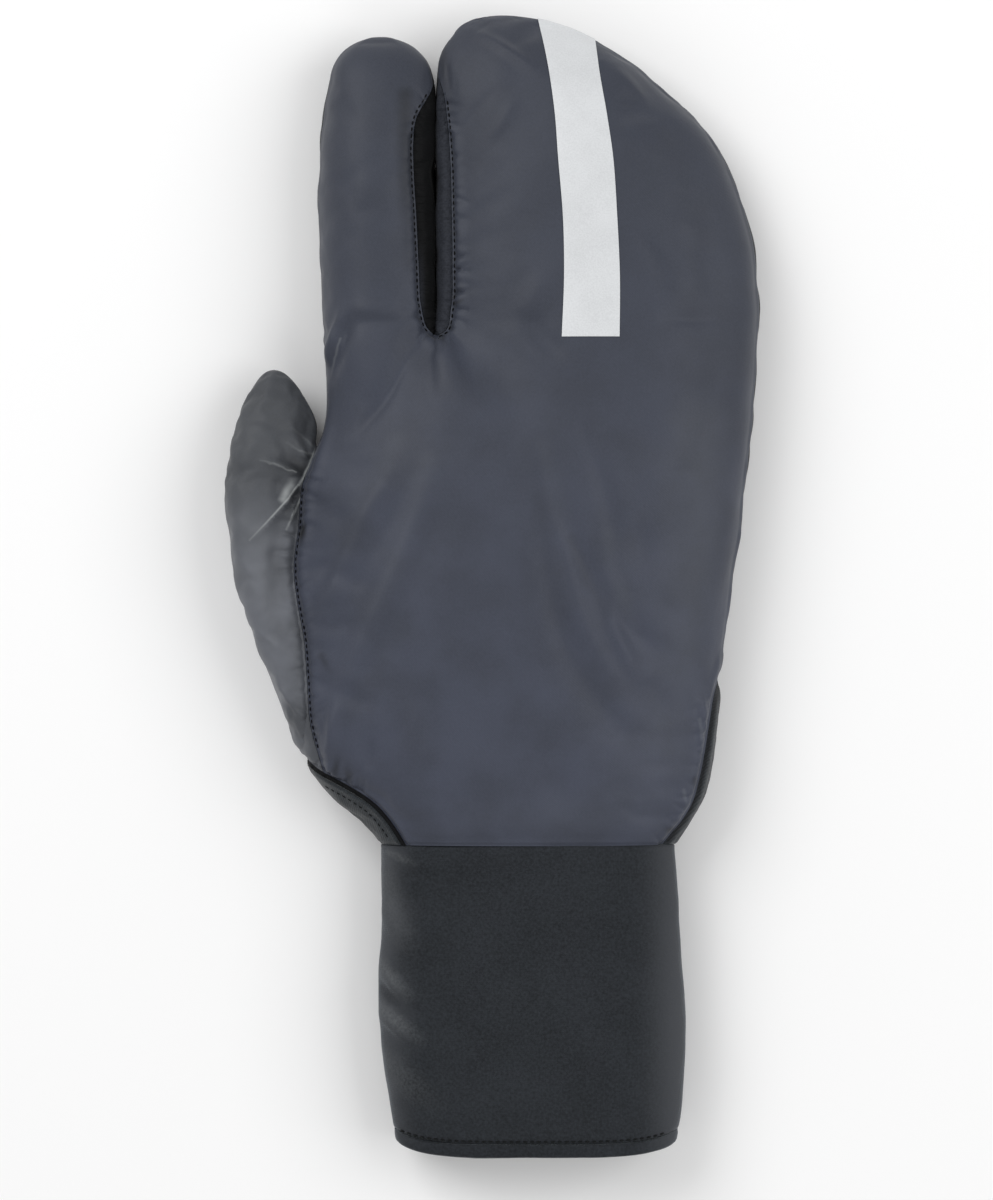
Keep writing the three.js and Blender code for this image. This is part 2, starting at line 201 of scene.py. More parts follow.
class Profile:
    """Sections along a hand, a pouch or a cuff, with a smooth curve through them."""

    def __init__(
        self,
        rows: Points,
        tip: Optional[Sequence[float]] = None,
        start: Optional[Sequence[float]] = None,
        after: Optional[Sequence[float]] = None,
        before: Optional[Sequence[float]] = None,
    ) -> None:
        """Sets up the curve.

        Args:
            rows: Sections as (y, left, right, top).
            tip: Place (y, x) where both edges meet past the last section.
            start: Place (y, x) where both edges meet before the first section.
            after: A section past the last one that only steers the curve.
            before: A section before the first one that only steers the curve.
        """
        table = [list(map(float, row)) for row in rows]
        self.skip_first = 0
        self.skip_last = 0
        if tip is not None:
            y, x = tip
            last = table[-1]
            table.append([y, x, x, SEAM_HEIGHT])
            after = (last[0], last[2], last[1], 2 * SEAM_HEIGHT - last[3])
        if start is not None:
            y, x = start
            first = table[0]
            table.insert(0, [y, x, x, SEAM_HEIGHT])
            before = (first[0], first[2], first[1], 2 * SEAM_HEIGHT - first[3])
        if after is not None:
            table.append(list(after))
            self.skip_last = 1
        if before is not None:
            table.insert(0, list(before))
            self.skip_first = 1
        self.table = np.array(table)
        steps = np.diff(self.table[:, :3], axis=0)
        lengths = np.maximum(np.hypot(steps[:, 0], steps[:, 1]), np.hypot(steps[:, 0], steps[:, 2]))
        self.at = np.concatenate([[0.0], np.cumsum(lengths)])
        self.slopes = np.gradient(self.table, self.at, axis=0)

    def curve(self, at: np.ndarray) -> np.ndarray:
        """Sections at some places along the curve.

        Args:
            at: Distances along the curve.

        Returns:
            One (y, left, right, top) for each place.
        """
        return smooth_curve(self.table, self.at, self.slopes, at)

    def rows(self, spacing: float, low: float = -FAR, high: float = FAR) -> list[Row]:
        """Evenly spaced sections.

        Args:
            spacing: Distance from one to the next.
            low: Lowest y that is wanted.
            high: Highest y that is wanted.

        Returns:
            The sections from low to high, the ends of the curve's own range among them.
        """
        first = self.at[self.skip_first]
        last = self.at[len(self.at) - 1 - self.skip_last]
        fine = np.linspace(first, last, 2000)
        y = self.curve(fine)[:, 0]
        inside = fine[(y >= low - 1e-6) & (y <= high + 1e-6)]
        count = max(2, round((inside[-1] - inside[0]) / spacing) + 1)
        return [Row(*values) for values in self.curve(np.linspace(inside[0], inside[-1], count))]


HAND = Profile(HAND_ROWS, after=(79, -45.1, 70, 31))
INDEX = Profile(INDEX_ROWS, tip=INDEX_TIP, before=(62, -44, -14.6, 28.7))
MITT = Profile(MITT_ROWS, tip=MITT_TIP, before=(62, -15, 70, 31.5))
THUMB = Profile(THUMB_ROWS, tip=THUMB_TIP, start=THUMB_START)
CUFF = Profile(CUFF_ROWS)


def half_section(
    row: Row, share: np.ndarray, upper: bool, slot: SlotSide = SlotSide.NONE, inset: float = 0.0
) -> np.ndarray:
    """One side of a section: a flattened oval.

    Args:
        row: The section.
        share: Places from the left edge, 0, to the right edge, 1.
        upper: Whether it is the side over the hand, and not the one under it.
        slot: Which edge stands upright in the slot.
        inset: How far the section is taken in on all sides.

    Returns:
        Points (x, y, z) in millimetres.
    """
    angle = np.pi * share
    rise = np.abs(np.sin(angle))
    across = np.sign(np.cos(angle)) * np.abs(np.cos(angle)) ** SIDE_FULLNESS
    half = (row.right - row.left) / 2 - inset
    top = row.top - inset
    x = (row.left + row.right) / 2 - half * across
    nearness = {SlotSide.LEFT: 1 - share, SlotSide.RIGHT: share, SlotSide.NONE: 0 * share}[slot]
    upright = SLOT_WALL * (top - SEAM_HEIGHT) * nearness**4
    if upper:
        edge = SEAM_HEIGHT + upright
        z = edge + (top - edge) * rise**TOP_FULLNESS
    else:
        edge = SEAM_HEIGHT - upright
        depth = np.minimum(edge + FLAT, (top - SEAM_HEIGHT) * UNDER_DEPTH - upright)
        z = np.maximum(inset, edge - depth * rise**UNDER_FULLNESS)
    return np.stack([x, np.full_like(x, row.y), z], axis=1)


def hand_top(x: np.ndarray, y: np.ndarray) -> np.ndarray:
    """Height of the hand's back at some places, without its folds."""
    rows = HAND.rows(1.0)
    at = [row.y for row in rows]
    left = np.interp(y, at, [row.left for row in rows])
    right = np.interp(y, at, [row.right for row in rows])
    top = np.interp(y, at, [row.top for row in rows])
    share = np.clip(np.abs(2 * x - left - right) / (right - left), 0, 1)
    return SEAM_HEIGHT + (top - SEAM_HEIGHT) * (1 - share ** (2 / SIDE_FULLNESS)) ** (TOP_FULLNESS / 2)


# Meshes


class Loft:
    """A skin that grows ring by ring from a first circle."""

    def __init__(self) -> None:
        """Starts with no ring."""
        self.mesh = bmesh.new()

    def start(self, points: np.ndarray) -> list:
        """Lays the first ring.

        Args:
            points: The ring's corners in millimetres, in order.

        Returns:
            The ring's vertices.
        """
        made = bmesh.ops.create_circle(self.mesh, cap_ends=False, segments=len(points), radius=1.0)
        return self.place(made["verts"], points)

    def place(self, verts: list, points: np.ndarray) -> list:
        """Moves vertices to points in millimetres, and returns them."""
        for vert, point in zip(verts, points):
            vert.co = Vector(point) * MM
        return verts

    def grow(self, ring: list, points: np.ndarray) -> list:
        """Extrudes a closed ring to new places.

        Args:
            ring: The ring's vertices, in order.
            points: Where the new ring's corners lie.

        Returns:
            The new ring's vertices, in the same order.
        """
        made = bmesh.ops.extrude_edge_only(self.mesh, edges=self.edges(ring))["geom"]
        new = {item for item in made if isinstance(item, bmesh.types.BMVert)}
        follow = [next(e.other_vert(v) for e in v.link_edges if e.other_vert(v) in new) for v in ring]
        return self.place(follow, points)

    def edges(self, ring: list) -> list:
        """The edges round a ring."""
        return [self.mesh.edges.get(pair) for pair in zip(ring, ring[1:] + ring[:1])]

    def close(self, ring: list, tip: Sequence[float]) -> None:
        """Draws a ring together in one point."""
        end = self.grow(ring, [tip] * len(ring))
        bmesh.ops.pointmerge(self.mesh, verts=end, merge_co=Vector(tip) * MM)

    def divide(self, first: bmesh.types.BMVert, second: bmesh.types.BMVert, cuts: int) -> list:
        """Joins two vertices by an edge with some more vertices on it.

        Args:
            first: Vertex at one end.
            second: Vertex at the other end.
            cuts: How many vertices lie between them.

        Returns:
            The vertices in between, from the first end to the second.
        """
        edge = self.mesh.edges.new((first, second))
        chain = [first]
        for left in range(cuts, 0, -1):
            chain.append(bmesh.utils.edge_split(edge, chain[-1], 1 / (left + 1))[1])
            edge = self.mesh.edges.get((chain[-1], second))
        return chain[1:]


@dataclass
class HandForm:
    """The hand with its index finger and mitt pouch as one skin, open at the shell's hem.

    Args:
        spacing: Rough size of a mesh cell.
        setback: How far the fork is moved towards the wrist, for an inner skin.
        start_y: Where the skin starts, past the shell's hem.
    """

    spacing: float
    setback: float = 0.0
    start_y: float = -73.0

    def __post_init__(self) -> None:
        """Settles how many steps each section takes."""
        self.index_steps = round(50 / self.spacing)
        self.mitt_steps = round(104 / self.spacing)
        self.wall_steps = max(3, round(11 / self.spacing))
        self.fork_y = FORK_Y - self.setback

    def index_ring(self, row: Row) -> np.ndarray:
        """Corners of one section of the index finger: over it, down the slot, and back under it."""
        share = np.linspace(0, 1, self.index_steps + 1)
        over = half_section(row, share, True, SlotSide.RIGHT)
        under = half_section(row, share[::-1], False, SlotSide.RIGHT)
        wall = self.wall(over[-1], under[0])
        return np.concatenate([over, wall, under[:-1]])

    def mitt_ring(self, row: Row) -> np.ndarray:
        """Corners of one section of the mitt pouch: over it, back under it, and up the slot."""
        share = np.linspace(0, 1, self.mitt_steps + 1)
        over = half_section(row, share, True, SlotSide.LEFT)
        under = half_section(row, share[::-1], False, SlotSide.LEFT)
        return np.concatenate([over, under[1:], self.wall(under[-1], over[0])])

    def wall(self, start: np.ndarray, end: np.ndarray) -> np.ndarray:
        """Points along the upright wall of the slot, without its ends."""
        share = np.linspace(0, 1, self.wall_steps + 1)[1:-1, None]
        return start + (end - start) * share

    def fork_ring(self, index: Row, mitt: Row) -> np.ndarray:
        """A ring whose left part follows the index finger's section, and its right part the mitt's."""
        few = np.linspace(0, 1, self.index_steps + 1)
        many = np.linspace(0, 1, self.mitt_steps + 1)
        return np.concatenate([
            half_section(index, few, True, SlotSide.RIGHT),
            half_section(mitt, many, True, SlotSide.LEFT)[1:],
            half_section(mitt, many[::-1], False, SlotSide.LEFT)[1:],
            half_section(index, few[::-1], False, SlotSide.RIGHT)[1:-1],
        ])

    def hand_ring(self, row: Row) -> np.ndarray:
        """Corners of one section of the hand, with the groove that runs into the fork."""
        share = np.linspace(0, 1, self.index_steps + self.mitt_steps + 1)
        plain = np.concatenate([half_section(row, share, True), half_section(row, share[::-1], False)[1:-1]])
        index = Row(row.y, row.left, SLOT_X, row.top - INDEX_DROP)
        mitt = Row(row.y, SLOT_X, row.right, row.top - MITT_DROP)
        forked = self.fork_ring(index, mitt)
        away = smoothstep(np.abs(forked[:, 0] - SLOT_X), 1.0, 15.0)
        length = GROOVE_LENGTH + 34 * away
        near = np.clip((row.y - self.fork_y) / length + 1, 0, 1)
        near = (near * near * (3 - 2 * near)) ** (2 - away)
        lean = float(smoothstep(np.array(row.y), self.fork_y - 45, self.fork_y))
        ring = plain + (forked - plain) * near[:, None]
        ring[:, 0] = plain[:, 0] + (forked[:, 0] - plain[:, 0]) * lean
        return ring

    def build(self) -> bmesh.types.BMesh:
        """Makes the skin.

        Returns:
            Its mesh, in metres, with an open ring at the hem.
        """
        loft = Loft()
        hand_rows = HAND.rows(self.spacing, self.start_y, self.fork_y - 0.6 * self.spacing)
        ring = loft.start(self.hand_ring(hand_rows[0]))
        for row in hand_rows[1:]:
            ring = loft.grow(ring, self.hand_ring(row))
        index_rows = INDEX.rows(self.spacing)
        mitt_rows = MITT.rows(self.spacing)
        fork = self.fork_ring(
            Row(self.fork_y, index_rows[0].left, SLOT_X, index_rows[0].top),
            Row(self.fork_y, SLOT_X, mitt_rows[0].right, mitt_rows[0].top),
        )
        ring = loft.grow(ring, fork)
        top = self.index_steps
        under = len(ring) - self.index_steps
        wall = loft.divide(ring[top], ring[under], self.wall_steps - 1)
        index = ring[: top + 1] + wall + ring[under:]
        mitt = ring[top : under + 1] + wall[::-1]
        for row in index_rows[1:-1]:
            index = loft.grow(index, self.index_ring(row))
        for row in mitt_rows[1:-1]:
            mitt = loft.grow(mitt, self.mitt_ring(row))
        loft.close(index, (INDEX_TIP[1], INDEX_TIP[0], SEAM_HEIGHT))
        loft.close(mitt, (MITT_TIP[1], MITT_TIP[0], SEAM_HEIGHT))
        bmesh.ops.recalc_face_normals(loft.mesh, faces=loft.mesh.faces)
        return loft.mesh


@dataclass
class ThumbForm:
    """The thumb pouch's closed skin.

    Args:
        spacing: Rough size of a mesh cell.
    """

    spacing: float

    def build(self) -> bmesh.types.BMesh:
        """Makes the skin in metres, closed at both ends."""
        loft = Loft()
        share = np.linspace(0, 1, round(34 / self.spacing) + 1)
        rows = THUMB.rows(self.spacing)
        rings = [
            np.concatenate([half_section(row, share, True), half_section(row, share[::-1], False)[1:-1]])
            for row in rows[1:-1]
        ]
        ring = loft.start(rings[0])
        loft.close(ring, (THUMB_START[1], THUMB_START[0], SEAM_HEIGHT))
        for points in rings[1:]:
            ring = loft.grow(ring, points)
        loft.close(ring, (THUMB_TIP[1], THUMB_TIP[0], SEAM_HEIGHT))
        bmesh.ops.recalc_face_normals(loft.mesh, faces=loft.mesh.faces)
        return loft.mesh


class SeamLine:
    """A seam or hem as a smooth line seen from above."""

    def __init__(self, points: Points, spacing: float = 1.2) -> None:
        """Runs a smooth curve through some points.

        Args:
            points: Places (x, y) in millimetres.
            spacing: Distance between the points of the finished line.
        """
        table = np.array(points, float)
        at = travelled(table)
        slopes = np.gradient(table, at, axis=0)
        wanted = np.linspace(0, at[-1], max(2, round(at[-1] / spacing) + 1))
        self.points = smooth_curve(table, at, slopes, wanted)
        self.at = travelled(self.points)

    def locate(self, xy: np.ndarray, reach: float = 16.0) -> tuple[np.ndarray, np.ndarray]:
        """Where places lie beside the line.

        Args:
            xy: Places in millimetres.
            reach: Distance from the line up to which it is needed. Places beyond count as far away.

        Returns:
            Signed distances, above 0 to the left of the line's direction, and distances along it.
        """
        aside = np.full(len(xy), FAR)
        along = np.zeros(len(xy))
        low = self.points.min(axis=0) - reach
        high = self.points.max(axis=0) + reach
        near = np.nonzero(np.all((xy > low) & (xy < high), axis=1))[0]
        near = near[np.argsort(xy[near, 1])]
        place = xy[near]
        best = np.full((3, len(near)), FAR)
        best[1:] = [[0.0], [1.0]]
        for k in range(len(self.points) - 1):
            a = self.points[k]
            step = self.points[k + 1] - a
            rows = sorted((a[1], a[1] + step[1]))
            part = slice(*np.searchsorted(place[:, 1], [rows[0] - reach, rows[1] + reach]))
            offset = place[part] - a
            t = np.clip(offset @ step / (step @ step), 0, 1)
            rest = offset - t[:, None] * step
            distance = np.hypot(rest[:, 0], rest[:, 1])
            turn = np.where(step[0] * offset[:, 1] < step[1] * offset[:, 0], -1.0, 1.0)
            found = np.stack([distance, self.at[k] + t * np.hypot(*step), turn])
            best[:, part] = np.where(distance < best[0, part], found, best[:, part])
        aside[near] = best[0] * best[2]
        along[near] = best[1]
        return aside, along

    def shifted(self, distance: float) -> np.ndarray:
        """The line's points moved to the left of its direction."""
        run = np.gradient(self.points, axis=0)
        run /= np.hypot(run[:, 0], run[:, 1])[:, None]
        return self.points + distance * np.stack([-run[:, 1], run[:, 0]], axis=1)

    def point(self, at: float, aside: float = 0.0) -> np.ndarray:
        """A place at a distance along the line and to the left of it."""
        line = self.shifted(aside)
        return np.array([np.interp(at, self.at, line[:, 0]), np.interp(at, self.at, line[:, 1])])

    @property
    def length(self) -> float:
        """Length of the line."""
        return float(self.at[-1])


THUMB_LINE = SeamLine(THUMB_SEAM)
THUMB_HEM_LINE = SeamLine(THUMB_SIDE_HEM)
LITTLE_HEM_LINE = SeamLine(LITTLE_SIDE_HEM)
SLOT_LINE = SeamLine(SLOT_SEAM)


def coordinates(mesh: bmesh.types.BMesh) -> np.ndarray:
    """Places of a mesh's vertices, in millimetres."""
    return readings(mesh, "vertices", "co") / MM


def normals(mesh: bmesh.types.BMesh) -> np.ndarray:
    """Directions that a mesh's vertices face."""
    return readings(mesh, "vertex_normals", "vector")


def readings(mesh: bmesh.types.BMesh, kind: str, name: str) -> np.ndarray:
    """Three numbers for each vertex of a mesh, by their names."""
    data = bpy.data.meshes.new("scratch")
    mesh.to_mesh(data)
    values = np.empty(3 * len(mesh.verts))
    getattr(data, kind).foreach_get(name, values)
    bpy.data.meshes.remove(data)
    return values.reshape(-1, 3)


def move(mesh: bmesh.types.BMesh, points: np.ndarray) -> None:
    """Moves a mesh's vertices to places in millimetres."""
    data = bpy.data.meshes.new("scratch")
    mesh.to_mesh(data)
    data.vertices.foreach_set("co", (points * MM).ravel())
    mesh.clear()
    mesh.from_mesh(data)
    bpy.data.meshes.remove(data)


def as_object(name: str, mesh: bmesh.types.BMesh) -> bpy.types.Object:
    """Makes an object at the origin from a mesh.

    Args:
        name: The object's name.
        mesh: Its mesh, which is freed.

    Returns:
        The object, with smooth faces.
    """
    data = bpy.data.meshes.new(name)
    mesh.to_mesh(data)
    mesh.free()
    data.shade_smooth()
    made = bpy.data.objects.new(name, data)
    bpy.context.scene.collection.objects.link(made)
    return made


def as_mesh(made: bpy.types.Object) -> bmesh.types.BMesh:
    """An object's mesh with its modifiers applied. The object goes."""
    graph = bpy.context.evaluated_depsgraph_get()
    result = bmesh.new()
    result.from_object(made, graph)
    bpy.data.objects.remove(made)
    return result


def seam_distance(points: np.ndarray) -> np.ndarray:
    """How far places on the shell lie from its nearest seam or hem.

    Args:
        points: Places in millimetres.

    Returns:
        One distance for each place.
    """
    xy = points[:, :2]
    near = np.abs(points[:, 2] - SEAM_HEIGHT)
    for line in (THUMB_LINE, THUMB_HEM_LINE, LITTLE_HEM_LINE, SLOT_LINE):
        near = np.minimum(near, np.abs(line.locate(xy)[0]))
    return np.minimum(near, np.abs(points[:, 1] - SHELL_HEM_Y))


@dataclass
class ClothSettling:
    """Lets nylon fill out between its seams by a cloth simulation on an enlarged copy.

    Args:
        pressure: Pressure of the padding.
        slack: Share by which the cloth is cut larger than its shape.
        limit: Furthest that a point may move outwards.
        sink: Furthest that a point may move inwards.
        frames: How many steps it runs.
        enlarged: Factor of the copy's size.
        stiffness: Stiffness against stretching and squeezing.
        steps: How many levels the share has by which a point is held.
    """

    pressure: float = 1.6
    slack: float = 0.012
    limit: float = 2.6
    sink: float = 0.7
    frames: int = 20
    enlarged: float = 10.0
    stiffness: float = 15.0
    steps: int = 10

    def run(self, mesh: bmesh.types.BMesh, name: str) -> bmesh.types.BMesh:
        """Settles a skin.

        Args:
            mesh: The skin, in metres.
            name: Name for its object while it runs.

        Returns:
            The same mesh with its vertices moved.
        """
        before = coordinates(mesh)
        facing = normals(mesh)
        held = 1 - smoothstep(seam_distance(before), 0.8, 3.2)
        held = np.maximum(held, 1 - smoothstep(before[:, 2], 0.4, 3.0))
        copy = mesh.copy()
        bmesh.ops.scale(copy, vec=Vector((1, 1, 1)) * self.enlarged, verts=copy.verts)
        made = as_object(name, copy)
        group = made.vertex_groups.new(name="held")
        for step in range(self.steps + 1):
            members = np.nonzero(np.round(held * self.steps) == step)[0]
            group.add([int(i) for i in members], step / self.steps, "REPLACE")
        cloth = made.modifiers.new("settle", "CLOTH")
        cloth.collision_settings.use_collision = False
        settings = cloth.settings
        settings.quality = 6
        settings.mass = 0.1
        settings.tension_stiffness = self.stiffness
        settings.compression_stiffness = self.stiffness
        settings.shear_stiffness = 5
        settings.bending_stiffness = 0.15
        settings.use_pressure = True
        settings.uniform_pressure_force = self.pressure
        settings.shrink_min = -self.slack
        settings.vertex_group_mass = "held"
        settings.effector_weights.gravity = 0
        for step in range(1, self.frames + 1):
            bpy.context.scene.frame_set(step)
        settled = as_mesh(made)
        moved = coordinates(settled) / self.enlarged - before
        settled.free()
        out = np.sum(moved * facing, axis=1)
        length = np.linalg.norm(moved, axis=1) + 1e-9
        allowed = np.where(out > 0, self.limit, self.sink)
        capped = allowed * np.tanh(length / allowed)
        moved *= (capped / length)[:, None]
        after = before + moved
        after[:, 2] = np.maximum(after[:, 2], np.minimum(before[:, 2], 0.0))
        move(mesh, after)
        bpy.context.scene.frame_set(1)
        LOG.info("%s settled: %.2f mm at most, %.2f mm on average", name, length.max(), length.mean())
        return mesh


@dataclass(frozen=True)
class Fold:
    """A fold in the cloth.

    Args:
        route: Places (x, y) along its crest.
        width: Its half width.
        height: Its height, below 0 for a dent.
        crisp: Whether its crest is sharp.
    """

    route: tuple
    width: float
    height: float
    crisp: bool = False


BACK_FOLDS = (
    Fold(((-36.7, 15), (-42, 6), (-46.7, -2.6)), 3.2, -0.45),
    Fold(((-25, 32.7), (-40.3, 4.5), (-46.7, -11.9)), 2.6, 0.4),
    Fold(((-20.2, 27), (-33.1, 2.1), (-42.6, -21.4)), 3.2, -0.3),
    Fold(((-15.5, 30.4), (-25, 4.5), (-36.7, -21.4), (-41.1, -36.7)), 3.2, 0.36),
    Fold(((-41.1, -30.8), (-42.6, -47.3)), 1.6, 0.55),
    Fold(((-31.4, -40.1), (-33.7, -48.5)), 1.8, -0.5),
    Fold(((-19.1, -28.5), (-21.4, -47.3), (-25, -55.5)), 2.8, 0.32),
    Fold(((0.9, 53.9), (4.5, 30.4), (3.3, 14)), 5, -0.35),
    Fold(((15.1, 35.1), (15.7, 26.9), (22.1, 8), (28, -3.7), (30.2, -11.9)), 2.0, -0.5),
    Fold(((28, -2.6), (31.6, -11.9), (35, -19), (37.4, -24.8)), 1.8, 0.45),
    Fold(((10.4, 25.6), (13.9, 9.2), (17.4, -9.6), (22.1, -22.6), (30.3, -34.3), (38.6, -43.7)), 2.8, -0.42),
    Fold(((18.6, 15), (20.9, -2.6), (26.8, -16.6), (36.2, -30.8)), 2.8, 0.36),
    Fold(((22.1, 44.5), (27.4, 30.4), (32.7, 10.4)), 1.9, -0.36),
    Fold(((37.4, 16.2), (39.7, 4.5)), 3.6, -0.3),
    Fold(((54.8, -28.5), (55.6, -44.9)), 1.4, 0.6),
    Fold(((50.8, -55.5), (52.9, -59.7)), 1.2, 0.5),
    Fold(((40.9, -23.8), (45.6, -37.8)), 3.6, -0.3),
    Fold(((15.1, -47.3), (23.3, -64.9)), 5, -0.28),
    Fold(((-39, 72.4), (-43.6, 56.5)), 1.3, 0.6),
    Fold(((-36.8, 71), (-42, 54)), 1.6, -0.45),
    Fold(((-39, 72.4), (-21.8, 69.7)), 2.0, 0.22),
    Fold(((8.6, 69.7), (15.2, 61.8), (19.1, 59.2)), 2.4, -0.45),
    Fold(((13.9, 80.3), (7.3, 68.4)), 3, 0.32),
    Fold(((-5.9, 145.6), (2, 141), (14.5, 131.8)), 1.5, 0.36),
    Fold(((5.9, 126.5), (0, 115.9)), 1.3, 0.2),
    Fold(((29.7, 137), (41.6, 123.3)), 2.2, 0.42),
    Fold(((38.3, 90.8), (44.2, 80.3), (45.6, 75)), 1.4, -0.25),
    Fold(((56.1, 97.4), (56.1, 75)), 3, -0.25),
)
THUMB_FOLDS = (
    Fold(((-49.8, 28.4), (-53.5, 30.6), (-60.5, 32.4)), 1.1, 1.3, True),
    Fold(((-48.6, 30.2), (-52, 32), (-56, 33.2)), 1.5, -1.5),
    Fold(((-50, 31), (-54.5, 36.5), (-57, 42)), 1.7, -0.8),
    Fold(((-48.5, 32), (-51.5, 37), (-53.5, 44)), 1.2, 0.7),
    Fold(((-47.4, 33.5), (-50, 39)), 0.9, -0.7),
    Fold(((-50.5, 27), (-54, 21.5), (-58.5, 16.5), (-64, 10.5)), 1.0, 1.7, True),
    Fold(((-52.3, 28), (-54.5, 24.5)), 1.6, 0.8),
    Fold(((-55.2, 27.5), (-56.5, 22)), 1.5, -0.9),
    Fold(((-50.2, 24.5), (-52.4, 19.5), (-53.8, 14)), 0.9, 1.3, True),
    Fold(((-51.2, 24.2), (-52.8, 21)), 0.9, -1.0),
    Fold(((-51.5, 21), (-56.5, 9), (-58, 2)), 2.0, -0.9),
    Fold(((-53, 12), (-60, 1), (-62, -10)), 3.0, 0.6),
    Fold(((-53, 2), (-58, -12), (-58, -25)), 3.2, -0.5),
    Fold(((-63, 40), (-66, 28)), 3.5, 0.5),
    Fold(((-60, 37), (-63.5, 26)), 2.2, -0.6),
    Fold(((-50.8, -8), (-55, -16)), 1.4, -0.6),
)
CUFF_FOLDS = (
    Fold(((-29.5, -70), (-24, -72.5), (-12, -73.5)), 1.6, 0.9),
    Fold(((-29.8, -83), (-25, -90), (-17, -95)), 2.2, 0.8),
    Fold(((-29.8, -91), (-25, -98), (-18, -102)), 2.4, -0.6),
    Fold(((-30, -98.5), (-25, -105.5), (-16, -110)), 2.0, 1.1),
    Fold(((-30, -104), (-25.5, -110)), 1.6, -0.7),
    Fold(((-30, -110.5), (-25, -116.5), (-17, -120)), 2.0, 1.1),
    Fold(((-29.5, -116), (-24, -121.5)), 2.0, -0.7),
    Fold(((-29, -124), (-22, -131), (-12, -135)), 3.0, 0.6),
    Fold(((50, -76), (44, -88), (43, -104)), 4.0, 0.35),
    Fold(((50.5, -112), (45, -126), (44, -138)), 4.0, 0.3),
)


@dataclass(frozen=True)
class Puckers:
    """A row of short creases that a seam's thread draws into the cloth beside it.

    Args:
        line: The seam.
        side: 1 for the left of the line's direction, -1 for its right.
        seed: Seed of their uneven places and sizes.
        run: Distances along the seam between which they lie.
        pitch: Average distance between them.
        size: Their usual depth.
        reach: Their usual length.
        clear: Distance from the seam over which they fade in.
    """

    line: SeamLine
    side: int
    seed: int
    run: tuple
    pitch: float
    size: float
    reach: float
    clear: float = 0.0


HAND_PUCKERS = (
    Puckers(SLOT_LINE, -1, 3, (8, 62), 2.6, 0.28, 2.6),
    Puckers(SLOT_LINE, -1, 4, (62, 96), 2.0, 0.7, 3.6),
    Puckers(SLOT_LINE, -1, 5, (96, SLOT_LINE.length - 8), 2.4, 0.4, 2.8),
    Puckers(SLOT_LINE, 1, 6, (4, SLOT_LINE.length - 4), 2.2, 0.5, 2.4),
    Puckers(THUMB_LINE, 1, 7, (32, 48), 1.9, 0.55, 4.5),
    Puckers(THUMB_LINE, 1, 8, (48, 108), 2.4, 0.55, 2.8),
    Puckers(THUMB_HEM_LINE, 1, 9, (8, 26), 2.6, 0.6, 4.2),
    Puckers(LITTLE_HEM_LINE, -1, 10, (10, 52), 2.8, 0.55, 3.4, 1.6),
)
THUMB_PUCKERS = (
    Puckers(THUMB_LINE, -1, 23, (28, 60), 1.8, 0.7, 4.0),
    Puckers(THUMB_LINE, -1, 24, (60, 108), 2.6, 0.45, 2.6),
)


